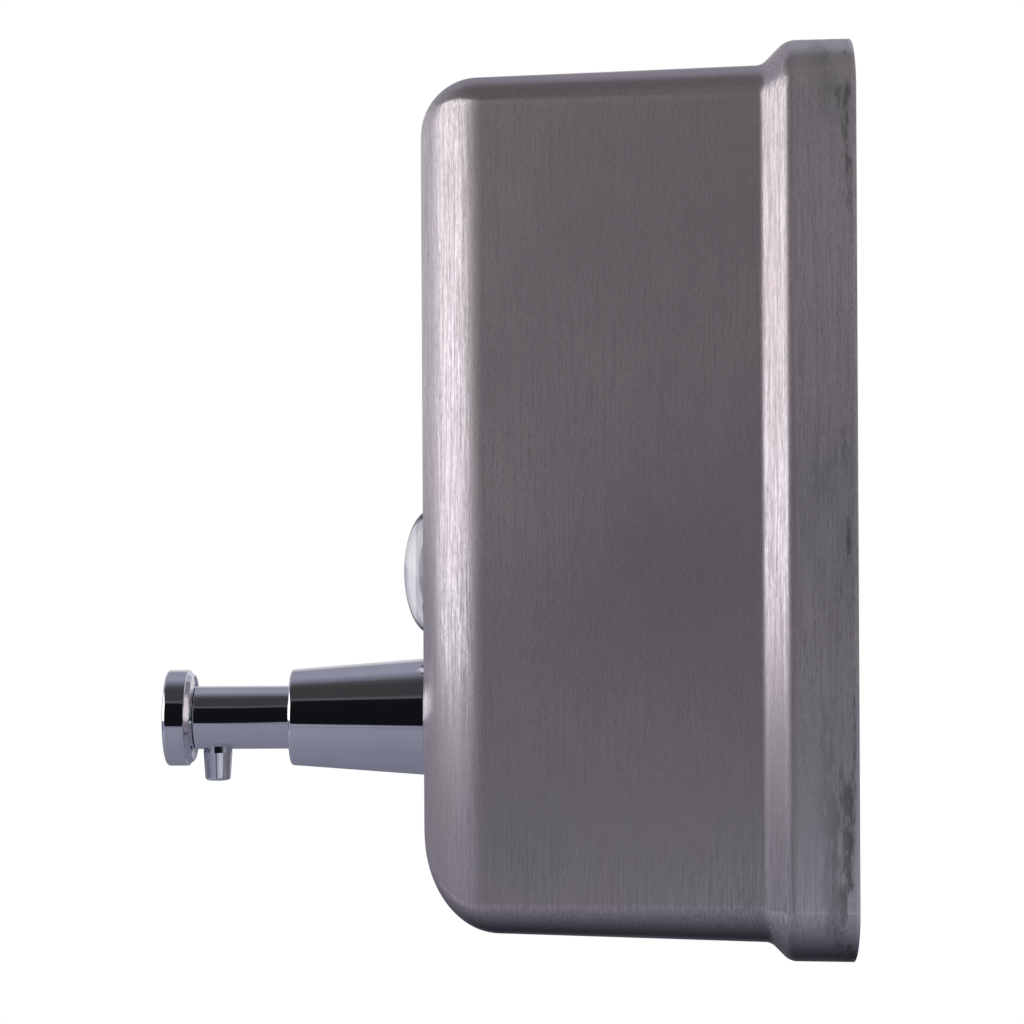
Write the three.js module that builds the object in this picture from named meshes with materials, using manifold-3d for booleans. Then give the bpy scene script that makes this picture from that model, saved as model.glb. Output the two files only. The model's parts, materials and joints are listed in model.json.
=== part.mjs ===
// A wall mounted soap dispenser of brushed stainless steel: a deep drawn shell closed by a back pan, hung on a wall
// plate, with a keyed filler lid on top, a sight window in front and a push pump with a chrome spout.
// Millimetres. X is across, +Y points into the wall and +Z is up. The origin is on the wall, at the shell's centre.
import * as THREE from "three";
import { mergeVertices } from "three/addons/utils/BufferGeometryUtils.js";
import Module from "manifold-3d";

const wasm = await Module();
wasm.setup();

// ---------------------------------------------------------------- driving dimensions

const SHELL = {
  width: 124, // over the flange
  height: 206,
  depth: 96, // wall to front face
  sheet: 1,
  draft: THREE.MathUtils.degToRad(2),
  flangeDraft: THREE.MathUtils.degToRad(1),
  corner: 7.5, // corner radius of the front section, seen from the front
  cornerShrink: 0.35, // share of the front rounding that the corner radius gives up
  cornerGrowth: 0.8, // share of the draft and the step that it takes on
};
// The section of each wall. The rounding of its front edge runs back along Y and pulls inwards. Its step stands up
// to the flange on a slope of 45 degrees, and starts at a distance from the wall.
const SIDES = { run: 14, pull: 14, stepStart: 21, step: 4.4, innerBend: 2.6, outerBend: 2.2 };
const TOP = { run: 13, pull: 11.5, stepStart: 20.8, step: 5.4, innerBend: 3.2, outerBend: 3.9 };
const BOTTOM = { run: 17, pull: 21, stepStart: 19.6, step: 4.1, innerBend: 3.2, outerBend: 3.9 };
const GAP = 0.3; // between pieces that are welded, pressed or screwed together
const ROUND = 32; // facets of a turned piece
const SMALL_ROUND = 20;
const KNUCKLE_ROUND = 16;

const PUMP = { z: -52, noseY: -130, rodEndY: -91.5, boreRadius: 6 };
const PLUNGER = { radius: 7.65, bore: 6, frontY: -153.3, rearY: -124 };
const SPOUT = { y: -148.1, topRadius: 3.5, tipRadius: 2.95, bore: 2, reach: 15.2 };
const WINDOW = { z: -16.7, halfHeight: 15, halfWidth: 9, proud: 6.6 };
const LID = { y: -55, halfWidth: 28, front: -24, rear: 21, top: 1.6, underside: 0.4 };
const FILLER = { halfWidth: 20, front: -18, rear: 16, corner: 6, ledge: 3 };
const HINGE = { y: 23, z: 1.9, knuckle: 1.7, bore: 0.95, pin: 0.8, halfLength: 17 };
const LOCK = { y: -7.5, barrel: 4.5, plug: 2.85, camTop: -9, camThickness: 1.5 };
const WALL_PLATE = { halfWidth: 40, bottom: -88, top: 72, sheet: 1.5, slotX: 28, slotZ: [60, -70] };
const RECESS = 9; // depth of the space behind the back pan, which holds the wall plate

const frontY = -SHELL.depth;

// ---------------------------------------------------------------- materials

const metal = (color, roughness) => new THREE.MeshStandardMaterial({ color, roughness, metalness: 1 });
const plastic = (color, roughness) => new THREE.MeshStandardMaterial({ color, roughness, metalness: 0 });

const brushedSteel = metal(0xa9a4a5, 0.34);
const plainSteel = metal(0xa3a3a5, 0.45);
const chrome = metal(0xd9dbe2, 0.06);
const springSteel = metal(0xb5b6ba, 0.25);
const whitePlastic = plastic(0xe9e9e4, 0.45);
const greyPlastic = plastic(0x6f7276, 0.5);
const rubber = plastic(0x26262a, 0.8);
const clearPlastic = new THREE.MeshStandardMaterial({
  color: 0xe4e8ee,
  roughness: 0.08,
  metalness: 0,
  transparent: true,
  opacity: 0.35,
});

// ---------------------------------------------------------------- solids and shapes

// A closed three.js geometry as a solid that can be cut and joined.
function solidOf(geometry) {
  const bare = new THREE.BufferGeometry();
  bare.setAttribute("position", geometry.getAttribute("position"));
  if (geometry.index) bare.setIndex(geometry.index);
  const merged = mergeVertices(bare, 1e-4);
  return new wasm.Manifold(
    new wasm.Mesh({
      numProp: 3,
      vertProperties: merged.attributes.position.array,
      triVerts: new Uint32Array(merged.index.array),
    }),
  );
}

function geometryOf(solid) {
  const mesh = solid.getMesh();
  const geometry = new THREE.BufferGeometry();
  geometry.setAttribute("position", new THREE.BufferAttribute(mesh.vertProperties, 3));
  geometry.setIndex(new THREE.BufferAttribute(mesh.triVerts, 1));
  geometry.computeVertexNormals();
  return geometry;
}

// A piece turned round the Y axis. The profile is a list of [radius, y] that starts and ends on the axis, or that
// goes once round a ring's section.
function turned(profile, segments = ROUND) {
  const points = profile.map(([r, y]) => new THREE.Vector2(r, y));
  const onAxis = profile[0][0] === 0;
  if (!onAxis) points.push(points[0].clone());
  const area = THREE.ShapeUtils.area(points);
  if (area < 0) points.reverse();
  return solidOf(new THREE.LatheGeometry(points, segments));
}

// The same, round the Z axis through (x, y): the profile is a list of [radius, z].
function turnedUpright(profile, x = 0, y = 0, segments = SMALL_ROUND) {
  return turned(profile, segments).rotate([90, 0, 0]).translate([x, y, 0]);
}

const tube = (outer, inner, from, to) => [
  [inner, from],
  [outer, from],
  [outer, to],
  [inner, to],
];
const rod = (radius, from, to) => [
  [0, from],
  [radius, from],
  [radius, to],
  [0, to],
];

// A flat shape in X and Y, thickened from z0 to z1.
function plate(shape, z0, z1, curveSegments = 5) {
  const depth = z1 - z0;
  return solidOf(new THREE.ExtrudeGeometry(shape, { depth, bevelEnabled: false, curveSegments })).translate([0, 0, z0]);
}

// A flat shape in X and Z, thickened from y0 to y1.
function sheet(shape, y0, y1, curveSegments = 5) {
  return plate(shape, 0, y1 - y0, curveSegments)
    .rotate([90, 0, 0])
    .translate([0, y1, 0]);
}

const block = (x0, x1, y0, y1, z0, z1) => plate(rectangle(x0, x1, y0, y1), z0, z1);

function rectangle(x0, x1, y0, y1) {
  return new THREE.Shape([
    new THREE.Vector2(x0, y0),
    new THREE.Vector2(x1, y0),
    new THREE.Vector2(x1, y1),
    new THREE.Vector2(x0, y1),
  ]);
}

function roundedRectangle(x0, x1, y0, y1, radius) {
  const shape = new THREE.Shape();
  shape.absarc(x1 - radius, y1 - radius, radius, 0, Math.PI / 2);
  shape.absarc(x0 + radius, y1 - radius, radius, Math.PI / 2, Math.PI);
  shape.absarc(x0 + radius, y0 + radius, radius, Math.PI, 1.5 * Math.PI);
  shape.absarc(x1 - radius, y0 + radius, radius, 1.5 * Math.PI, 2 * Math.PI);
  return shape;
}

function ellipse(halfWidth, halfHeight, x = 0, y = 0) {
  const shape = new THREE.Shape();
  shape.absellipse(x, y, halfWidth, halfHeight, 0, 2 * Math.PI);
  return shape;
}

function circle(radius, x = 0, y = 0) {
  return ellipse(radius, radius, x, y);
}

// A slot with round ends, upright.
function slot(x, z, halfWidth, halfLength) {
  return roundedRectangle(x - halfWidth, x + halfWidth, z - halfLength, z + halfLength, halfWidth);
}

// A hexagon, flat to flat.
function hexagon(acrossFlats, x = 0, y = 0) {
  const corner = acrossFlats / Math.sqrt(3);
  const points = [];
  for (let i = 0; i < 6; i++) {
    const a = (i * Math.PI) / 3;
    points.push(new THREE.Vector2(x + corner * Math.cos(a), y + corner * Math.sin(a)));
  }
  return new THREE.Shape(points);
}

// ---------------------------------------------------------------- the drawn shell

// The section of one wall, from the front face to the room's wall, as [y, outward distance].
function shellProfile({ run, pull, stepStart, step, innerBend, outerBend }) {
  const points = [];
  const roundingSteps = 6;
  const bendSteps = 3;
  const slope = Math.PI / 4;
  for (let i = 0; i <= roundingSteps; i++) {
    const a = (i / roundingSteps) * (Math.PI / 2);
    const y = frontY + run * (1 - Math.cos(a));
    points.push([y, (y - frontY) * Math.tan(SHELL.draft) - pull * (1 - Math.sin(a))]);
  }
  const foot = (SHELL.depth - stepStart) * Math.tan(SHELL.draft);
  for (let i = 0; i <= bendSteps; i++) {
    const a = (i / bendSteps) * slope;
    points.push([innerBend * Math.sin(a) - stepStart, foot + innerBend * (1 - Math.cos(a))]);
  }
  const [rampY, rampD] = points.at(-1);
  const crest = foot + step;
  const bendRise = outerBend * (1 - Math.cos(slope));
  const flatY = rampY + (crest - bendRise - rampD) + outerBend * Math.sin(slope);
  for (let i = bendSteps; i >= 0; i--) {
    const a = (i / bendSteps) * slope;
    points.push([flatY - outerBend * Math.sin(a), crest - outerBend * (1 - Math.cos(a))]);
  }
  points.push([0, crest - flatY * Math.tan(SHELL.flangeDraft)]);
  return points;
}

// The profile moved inwards by the thickness of the sheet.
function insetProfile(points, thickness) {
  return points.map(([y, d], i) => {
    const before = points[Math.max(i - 1, 0)];
    const after = points[Math.min(i + 1, points.length - 1)];
    const into = i === 0 ? [0, 1] : unit(y - before[0], d - before[1]);
    const out = i === points.length - 1 ? into : unit(after[0] - y, after[1] - d);
    const normal = unit(into[1] + out[1], -into[0] - out[0]);
    const mitre = thickness / (normal[0] * into[1] - normal[1] * into[0]);
    return [y + normal[0] * mitre, d + normal[1] * mitre];
  });
}

function unit(x, y) {
  const length = Math.hypot(x, y);
  return [x / length, y / length];
}

const wallRise = (wall) => shellProfile(wall).at(-1)[1];
const halfWidth = SHELL.width / 2 - wallRise(SIDES); // of the front section, before its rounding
const topHeight = SHELL.height / 2 - wallRise(TOP);
const bottomHeight = SHELL.height / 2 - wallRise(BOTTOM);

// Heights of the tank's top and bottom walls at y, between the front rounding and the step.
const topAt = (y) => topHeight + (y - frontY) * Math.tan(SHELL.draft);
const bottomAt = (y) => -bottomHeight - (y - frontY) * Math.tan(SHELL.draft);

// The corner radius where the side walls stand out by d.
const cornerAt = (d) => SHELL.corner + Math.min(d, 0) * SHELL.cornerShrink + Math.max(d, 0) * SHELL.cornerGrowth;

// The space inside a skin of the shell, as a solid. The inset is 0 for the outer skin and the sheet for the inner.
function shellSkin(inset) {
  const cornerSteps = 6;
  const [sides, top, bottom] = [SIDES, TOP, BOTTOM].map((wall) => {
    const outline = shellProfile(wall);
    if (inset === 0) return outline;
    const moved = insetProfile(outline, inset);
    const [y, d] = moved.at(-1);
    return [...moved, [y + inset, d]]; // past the wall, so that the cut is clean
  });
  const outerSides = shellProfile(SIDES);
  const rings = sides.map(([sideY, sideD], i) => {
    const [, outerD] = outerSides[Math.min(i, outerSides.length - 1)];
    const corner = cornerAt(outerD) - inset;
    const ring = [];
    for (let quarter = 0; quarter < 4; quarter++) {
      const upper = quarter < 2;
      const [endY, endD] = upper ? top[i] : bottom[i];
      const height = upper ? topHeight : bottomHeight;
      const cornerX = (quarter === 0 || quarter === 3 ? 1 : -1) * (halfWidth + sideD - corner);
      const cornerZ = (upper ? 1 : -1) * (height + endD - corner);
      for (let step = 0; step <= cornerSteps; step++) {
        const a = (quarter + step / cornerSteps) * (Math.PI / 2);
        const [nx, nz] = [Math.cos(a), Math.sin(a)];
        ring.push([cornerX + corner * nx, sideY * nx * nx + endY * nz * nz, cornerZ + corner * nz]);
      }
    }
    return ring;
  });
  return solidOf(loft(rings));
}

// A closed surface through rings of points, from front to back, with a flat fan at each end.
function loft(rings) {
  const count = rings[0].length;
  const positions = rings.flat(2);
  const centreOf = (ring) => ring.reduce((sum, p) => sum.map((v, k) => v + p[k] / count), [0, 0, 0]);
  positions.push(...centreOf(rings[0]), ...centreOf(rings.at(-1)));
  const frontCentre = rings.length * count;
  const backCentre = frontCentre + 1;
  const index = [];
  for (let j = 0; j < count; j++) {
    const next = (j + 1) % count;
    index.push(frontCentre, j, next);
    for (let i = 0; i + 1 < rings.length; i++) {
      const [a, b, c, d] = [i * count + j, i * count + next, (i + 1) * count + next, (i + 1) * count + j];
      index.push(a, d, c, a, c, b);
    }
    const last = (rings.length - 1) * count;
    index.push(backCentre, last + next, last + j);
  }
  const geometry = new THREE.BufferGeometry();
  geometry.setAttribute("position", new THREE.Float32BufferAttribute(positions, 3));
  geometry.setIndex(index);
  return geometry;
}

const lockScrewY = -5.2;

function frontShell() {
  const pumpHole = turned(rod(10.4, frontY - 5, frontY + 5)).translate([0, 0, PUMP.z]);
  const windowShape = ellipse(WINDOW.halfWidth + GAP, WINDOW.halfHeight + GAP, 0, WINDOW.z);
  const windowHole = sheet(windowShape, frontY - 5, frontY + 5, 12);
  const fillerShape = roundedRectangle(-FILLER.halfWidth, FILLER.halfWidth, FILLER.front, FILLER.rear, FILLER.corner);
  const fillerHole = plate(fillerShape, -5, 5)
    .rotate([THREE.MathUtils.radToDeg(SHELL.draft), 0, 0])
    .translate([0, LID.y, topAt(LID.y)]);
  const screwHole = turnedUpright(rod(2.3, -SHELL.height / 2 - 2, -SHELL.height / 2 + 4), 0, lockScrewY);
  return shellSkin(0)
    .subtract(shellSkin(SHELL.sheet))
    .subtract(pumpHole)
    .subtract(windowHole)
    .subtract(fillerHole)
    .subtract(screwHole);
}

// A shallow pan welded inside the flange. Its rim turns back towards the wall.
function backPan() {
  const clear = SHELL.sheet + GAP + RECESS * Math.tan(SHELL.flangeDraft);
  const [x, z] = [SHELL.width / 2 - clear, SHELL.height / 2 - clear];
  const corner = cornerAt(wallRise(SIDES)) - clear;
  const outer = roundedRectangle(-x, x, -z, z, corner);
  const t = SHELL.sheet;
  const inner = roundedRectangle(-x + t, x - t, -z + t, z - t, corner - t);
  const screwHole = turnedUpright(rod(2.4, -z - 2, -z + 4), 0, lockScrewY);
  return sheet(outer, -RECESS - t, -t)
    .subtract(sheet(inner, -RECESS, 0))
    .subtract(screwHole);
}

// ---------------------------------------------------------------- wall mounting

// The hook and the hanger are a pair of lips: the hanger on the back pan drops behind the hook on the wall plate.
const HOOK = { halfWidth: 30, z: 36, lipTop: 46, lipY: -7.5, sheet: 1.5 };

function wallPlate() {
  const t = WALL_PLATE.sheet;
  let body = sheet(
    roundedRectangle(-WALL_PLATE.halfWidth, WALL_PLATE.halfWidth, WALL_PLATE.bottom, WALL_PLATE.top, 5),
    -t,
    0,
  );
  for (const x of [-WALL_PLATE.slotX, WALL_PLATE.slotX]) {
    for (const z of WALL_PLATE.slotZ) body = body.subtract(sheet(slot(x, z, 2.6, 5), -5, 5, 3));
  }
  const shelf = block(-HOOK.halfWidth, HOOK.halfWidth, HOOK.lipY, -t / 2, HOOK.z, HOOK.z + t);
  const lip = block(-HOOK.halfWidth, HOOK.halfWidth, HOOK.lipY, HOOK.lipY + t, HOOK.z, HOOK.lipTop);
  const lugHole = circle(2.15, 0, lockScrewY);
  const lug = plate(rectangle(-12, 12, -8.4, -t / 2), WALL_PLATE.bottom, WALL_PLATE.bottom + t).subtract(
    plate(lugHole, WALL_PLATE.bottom - 2, WALL_PLATE.bottom + 4),
  );
  return body.add(shelf).add(lip).add(lug);
}

function hangerBracket() {
  const t = HOOK.sheet;
  const panY = -RECESS + 0.05;
  const lipY = -3.5;
  const shelfZ = 50.5;
  const halfWidth = HOOK.halfWidth + 5;
  const foot = block(-halfWidth, halfWidth, panY, panY + t, shelfZ, shelfZ + 12);
  const shelf = block(-halfWidth, halfWidth, panY, lipY, shelfZ, shelfZ + t);
  const lip = block(-halfWidth, halfWidth, lipY - t, lipY, HOOK.z + t + GAP, shelfZ + t);
  return foot.add(shelf).add(lip);
}

// A headless screw from below, through flange and pan into the wall plate's lug. It ends flush with the flange.
function mountLockScrew() {
  const foot = -SHELL.height / 2 + 0.25;
  const tip = WALL_PLATE.bottom + 3.8;
  const socket = plate(hexagon(2, 0, lockScrewY), foot - 1, foot + 2);
  return turnedUpright(
    [
      [0, foot],
      [1.7, foot],
      [2, foot + 0.4],
      [2, tip - 0.8],
      [1.3, tip],
      [0, tip],
    ],
    0,
    lockScrewY,
  ).subtract(socket);
}

// ---------------------------------------------------------------- filler opening and lid
// These are drawn flat, with z up from the shell's top surface, and tilted with it by their group.

function fillerRim() {
  const f = FILLER;
  const top = -SHELL.sheet - GAP;
  const outer = roundedRectangle(-f.halfWidth - 5, f.halfWidth + 5, f.front - 4, f.rear + 4, f.corner + 4);
  const inner = roundedRectangle(
    -f.halfWidth + f.ledge,
    f.halfWidth - f.ledge,
    f.front + f.ledge,
    f.rear - f.ledge,
    f.corner - f.ledge / 2,
  );
  return plate(outer, top - 1.5, top).subtract(plate(inner, top - 3, top + 2));
}

function lidGasket() {
  const f = FILLER;
  const seat = -SHELL.sheet - GAP + 0.05;
  const ring = (inset, corner) =>
    roundedRectangle(-f.halfWidth + inset, f.halfWidth - inset, f.front + inset, f.rear - inset, corner);
  return plate(ring(0.5, f.corner - 0.5), seat, LID.underside - 0.1).subtract(plate(ring(2.7, f.corner - 2.7), -3, 3));
}

function knuckles(spans) {
  const turnedAlongX = (radius, x0, x1) =>
    turned(rod(radius, x0, x1), KNUCKLE_ROUND).rotate([0, 0, -90]).translate([0, HINGE.y, HINGE.z]);
  const bore = turnedAlongX(HINGE.bore, -HINGE.halfLength - 2, HINGE.halfLength + 2);
  const rolls = spans.map(([x0, x1]) => turnedAlongX(HINGE.knuckle, x0, x1));
  return { rolls, bore };
}

const LID_KNUCKLES = [
  [-12, -6],
  [6, 12],
];
const SHELL_KNUCKLES = [
  [-HINGE.halfLength, -12.4],
  [-5.6, 5.6],
  [12.4, HINGE.halfLength],
];

function fillerLid() {
  const { halfWidth: w, front, rear, top, underside } = LID;
  const skirt = 1.2;
  const pocket = roundedRectangle(-w + skirt, w - skirt, front + skirt, rear - skirt, 6.8);
  let lid = plate(roundedRectangle(-w, w, front, rear, 8), 0.15, top).subtract(plate(pocket, -1, underside));
  const { rolls, bore } = knuckles(LID_KNUCKLES);
  LID_KNUCKLES.forEach(([x0, x1], i) => {
    lid = lid.add(rolls[i]).add(block(x0, x1, rear - 1, HINGE.y - 0.4, underside, top));
  });
  return lid.subtract(bore).subtract(turnedUpright(rod(LOCK.barrel + 0.1, -3, 5), 0, LOCK.y));
}

function hingeLeaf() {
  const { rolls, bore } = knuckles(SHELL_KNUCKLES);
  let leaf = block(-HINGE.halfLength, HINGE.halfLength, HINGE.y + 2.3, HINGE.y + 6, 0.1, 0.9);
  SHELL_KNUCKLES.forEach(([x0, x1], i) => {
    leaf = leaf.add(rolls[i]).add(block(x0, x1, HINGE.y + 0.4, HINGE.y + 3, 0.1, 0.9));
  });
  return leaf.subtract(bore);
}

function hingePin() {
  const length = HINGE.halfLength + 0.6;
  return turned(rod(HINGE.pin, -length, length), KNUCKLE_ROUND).rotate([0, 0, -90]).translate([0, HINGE.y, HINGE.z]);
}

// The strip under the filler rim that the cam swings beneath.
function lockKeeper() {
  const top = -SHELL.sheet - GAP - 1.5 - 0.1;
  const [front, rear] = [FILLER.front - 3.5, FILLER.front + 1.5];
  const flat = block(-8, 8, front, rear, top - 1.2, top);
  const leg = block(-8, 8, rear - 1.2, rear, LOCK.camTop + GAP, top);
  return flat.add(leg);
}

function lockBarrel() {
  const bore = LOCK.plug + 0.15;
  return turnedUpright(
    [
      [bore, LID.top + 1.2],
      [6.4, LID.top + 1.2],
      [7, LID.top + 0.6],
      [7, LID.top + 0.05],
      [LOCK.barrel, LID.top + 0.05],
      [LOCK.barrel, LOCK.camTop + 0.3],
      [bore, LOCK.camTop + 0.3],
    ],
    0,
    LOCK.y,
  );
}

function lockNut() {
  const hole = plate(circle(LOCK.barrel + 0.1, 0, LOCK.y), -4, 2, 8);
  return plate(hexagon(11.4, 0, LOCK.y), LID.underside - 2.9, LID.underside - 0.1).subtract(hole);
}

const CAM_STEM = 1.9; // radius of the plug's foot, which carries the cam

function lockPlug() {
  const foot = LOCK.camTop - LOCK.camThickness + 0.2;
  const keySlot = block(-0.6, 0.6, LOCK.y - 2, LOCK.y + 2, LID.top - 1.5, LID.top + 3);
  const screwBore = turnedUpright(rod(1.15, foot - 1, foot + 6), 0, LOCK.y, 12);
  return turnedUpright(
    [
      [0, LID.top + 1],
      [LOCK.plug, LID.top + 1],
      [LOCK.plug, LOCK.camTop + 0.1],
      [CAM_STEM, LOCK.camTop + 0.1],
      [CAM_STEM, foot],
      [0, foot],
    ],
    0,
    LOCK.y,
  )
    .subtract(keySlot)
    .subtract(screwBore);
}

// Stored unlocked, across the opening. A quarter turn brings it under the keeper.
function lockCam() {
  const outline = new THREE.Shape();
  outline.absarc(0, LOCK.y, 3.5, Math.PI / 2, 1.5 * Math.PI);
  outline.lineTo(11.5, LOCK.y - 3);
  outline.absarc(11.5, LOCK.y, 2, -Math.PI / 2, Math.PI / 2);
  const hole = plate(circle(CAM_STEM + 0.1, 0, LOCK.y), -15, 0);
  return plate(outline, LOCK.camTop - LOCK.camThickness, LOCK.camTop).subtract(hole);
}

function lockCamScrew() {
  const seat = LOCK.camTop - LOCK.camThickness - 0.05;
  const drive = block(-2.2, 2.2, LOCK.y - 0.35, LOCK.y + 0.35, seat - 3, seat - 1.2);
  return turnedUpright(
    [
      [0, seat - 2],
      [2.4, seat - 2],
      [3, seat - 1.4],
      [3, seat],
      [1, seat],
      [1, seat + 5],
      [0, seat + 5],
    ],
    0,
    LOCK.y,
  ).subtract(drive);
}

// ---------------------------------------------------------------- sight window

const windowLayer = { gasket: 1, flange: 1.5, retainer: 1 };
const innerFaceY = frontY + SHELL.sheet;
const gasketY = innerFaceY + 0.1;
const lensFlangeY = gasketY + windowLayer.gasket + 0.1;
const retainerY = lensFlangeY + windowLayer.flange + 0.1;
const studX = 18.5;

// A domed oval that comes through the shell from inside, with a flat flange behind.
function windowLens() {
  const { halfHeight: a, halfWidth: b, proud } = WINDOW;
  const domeSteps = 6;
  const around = 24;
  const rings = [];
  const addRing = (scaleX, scaleZ, y) => {
    const ring = [];
    for (let j = 0; j < around; j++) {
      const t = (j / around) * 2 * Math.PI;
      ring.push([scaleX * Math.cos(t), y, WINDOW.z + scaleZ * Math.sin(t)]);
    }
    rings.push(ring);
  };
  for (let i = 1; i <= domeSteps; i++) {
    const t = (i / domeSteps) * (Math.PI / 2);
    addRing(b * Math.sin(t), a * Math.sin(t), frontY - proud * Math.cos(t));
  }
  addRing(b, a, lensFlangeY + windowLayer.flange / 2);
  const dome = solidOf(loft(rings));
  const flange = sheet(ellipse(b + 4, a + 4), lensFlangeY, lensFlangeY + windowLayer.flange, 12);
  return dome.add(flange.translate([0, 0, WINDOW.z]));
}

function windowGasket() {
  const { halfHeight: a, halfWidth: b } = WINDOW;
  const ring = sheet(ellipse(b + 4, a + 4), gasketY, gasketY + windowLayer.gasket, 12);
  return ring.subtract(sheet(ellipse(b + 0.5, a + 0.5), -SHELL.depth, -80, 12)).translate([0, 0, WINDOW.z]);
}

function windowRetainer() {
  const { halfHeight: a, halfWidth: b } = WINDOW;
  const [y0, y1] = [retainerY, retainerY + windowLayer.retainer];
  let ring = sheet(ellipse(b + 5, a + 4.6), y0, y1, 12);
  ring = ring.add(sheet(roundedRectangle(-studX - 5, studX + 5, -5, 5, 4.9), y0, y1, 4));
  ring = ring.subtract(sheet(ellipse(b - 0.5, a - 0.5), y0 - 2, y1 + 2, 12));
  for (const x of [-studX, studX]) ring = ring.subtract(sheet(circle(1.7, x), y0 - 2, y1 + 2));
  return ring.translate([0, 0, WINDOW.z]);
}

const windowStud = (x) =>
  turned(rod(1.5, innerFaceY + 0.05, retainerY + 6), 12).translate([x, 0, WINDOW.z]);

function windowNut(x) {
  const y0 = retainerY + windowLayer.retainer + 0.05;
  return sheet(hexagon(5.5), y0, y0 + 2.4)
    .subtract(sheet(circle(1.6), y0 - 1, y0 + 4))
    .translate([x, 0, WINDOW.z]);
}

// ---------------------------------------------------------------- pump
// All of it is turned round one level axis, at PUMP.z.

const washer = { thickness: 0.8 };
const coneBaseY = frontY - washer.thickness - 0.1;
const HOUSING = { frontY: -124, flangeY: -93.9, cylinderEndY: -54.3, radius: 10, barrel: 8 };

function escutcheon() {
  return turned([
    [10.3, coneBaseY],
    [13.9, coneBaseY],
    [14.15, coneBaseY - 0.4],
    [11.9, PUMP.noseY + 1.6],
    [11.3, PUMP.noseY + 0.4],
    [10.4, PUMP.noseY],
    [8.2, PUMP.noseY],
    [8.2, PUMP.noseY + 1],
    [10.3, PUMP.noseY + 1],
  ]);
}

const outerWasher = () => turned(tube(13.4, 10.5, coneBaseY + 0.05, frontY - 0.05));
const innerWasher = () => turned(tube(14.2, 10.5, innerFaceY + 0.05, HOUSING.flangeY - 0.05), SMALL_ROUND);

function pumpHousing() {
  const h = HOUSING;
  const flangeEnd = h.flangeY + 2.4;
  return turned([
    [8.3, h.frontY],
    [h.radius, h.frontY],
    [h.radius, h.flangeY],
    [15, h.flangeY],
    [15, flangeEnd],
    [h.barrel, flangeEnd],
    [h.barrel, h.cylinderEndY],
    [PUMP.boreRadius, h.cylinderEndY],
    [PUMP.boreRadius, h.flangeY + 0.5],
    [8.3, h.flangeY - 0.8],
  ], SMALL_ROUND);
}

const guideBush = () => turned(tube(10.2, PLUNGER.radius + 0.1, PUMP.noseY + 1.1, HOUSING.frontY - 0.1));

function plungerTube() {
  const spoutHole = turnedUpright(rod(SPOUT.topRadius + 0.15, -12, 0), 0, SPOUT.y);
  return turned(tube(PLUNGER.radius, PLUNGER.bore, PLUNGER.frontY, PLUNGER.rearY)).subtract(spoutHole);
}

// A thick disc with a rounded face and a bevelled back, and a spigot behind it that fills the plunger's end.
const BUTTON = { radius: 11.65, thickness: 6.8, spigot: 0.5 };

function pushButton() {
  const rear = PLUNGER.frontY - 0.1;
  const face = rear - BUTTON.thickness;
  const [rim, spigotRadius] = [BUTTON.radius, PLUNGER.bore - 0.15];
  return turned([
    [0, face],
    [rim - 0.8, face],
    [rim - 0.2, face + 0.25],
    [rim, face + 0.8],
    [rim, rear - 1.6],
    [rim - 0.6, rear - 1.1],
    [rim - 1.8, rear - 0.3],
    [rim - 3, rear],
    [spigotRadius, rear],
    [spigotRadius, rear + BUTTON.spigot],
    [0, rear + BUTTON.spigot],
  ]);
}

// The spout stands down from the plunger on its own upright axis.
function spoutNozzle() {
  const top = -3.1;
  const tip = -SPOUT.reach;
  return turnedUpright(
    [
      [SPOUT.bore, top],
      [SPOUT.topRadius, top],
      [SPOUT.topRadius, -8.4],
      [SPOUT.tipRadius, tip + 0.4],
      [SPOUT.tipRadius - 0.4, tip],
      [SPOUT.bore, tip],
    ],
    0,
    SPOUT.y,
  );
}

const COLLAR_END = PLUNGER.rearY + 2.1;

// The hollow core of the plunger: a head inside the tube, a collar that stops against the bush, and a slim stem.
function pistonRod() {
  const channel = 1.8;
  const body = turned([
    [0, SPOUT.y - 4.4],
    [PLUNGER.bore - 0.15, SPOUT.y - 4.4],
    [PLUNGER.bore - 0.15, PLUNGER.rearY + 0.1],
    [8.05, PLUNGER.rearY + 0.1],
    [8.05, COLLAR_END],
    [3.5, COLLAR_END],
    [3.5, PUMP.rodEndY],
    [channel, PUMP.rodEndY],
    [channel, SPOUT.y + 0.4],
    [0, SPOUT.y - 1.4],
  ], SMALL_ROUND);
  const spoutSocket = turnedUpright(rod(SPOUT.topRadius + 0.1, -12, -3), 0, SPOUT.y);
  const drop = turnedUpright(rod(channel - 0.4, -5, -0.7), 0, SPOUT.y, 12);
  return body.subtract(spoutSocket).subtract(drop);
}

const PISTON = { front: -91.3, rear: -84, radius: 5.7, groove: 4.4 };

function piston() {
  const p = PISTON;
  return turned([
    [1.9, p.front],
    [p.radius, p.front],
    [p.radius, p.front + 1.6],
    [p.groove, p.front + 1.8],
    [p.groove, p.rear - 1.9],
    [5.2, p.rear - 1.7],
    [5.2, p.rear],
    [3.4, p.rear],
    [3.4, p.rear - 3.5],
    [1.9, p.rear - 3.5],
  ], SMALL_ROUND);
}

// A rubber cup whose lip opens towards the soap.
function pistonSeal() {
  const p = PISTON;
  return turned([
    [p.groove + 0.1, p.front + 2],
    [5.6, p.front + 2],
    [5.93, p.rear - 2.2],
    [5.3, p.rear - 2.2],
    [4.9, p.front + 3.4],
    [p.groove + 0.1, p.front + 3.4],
  ], SMALL_ROUND);
}

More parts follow.
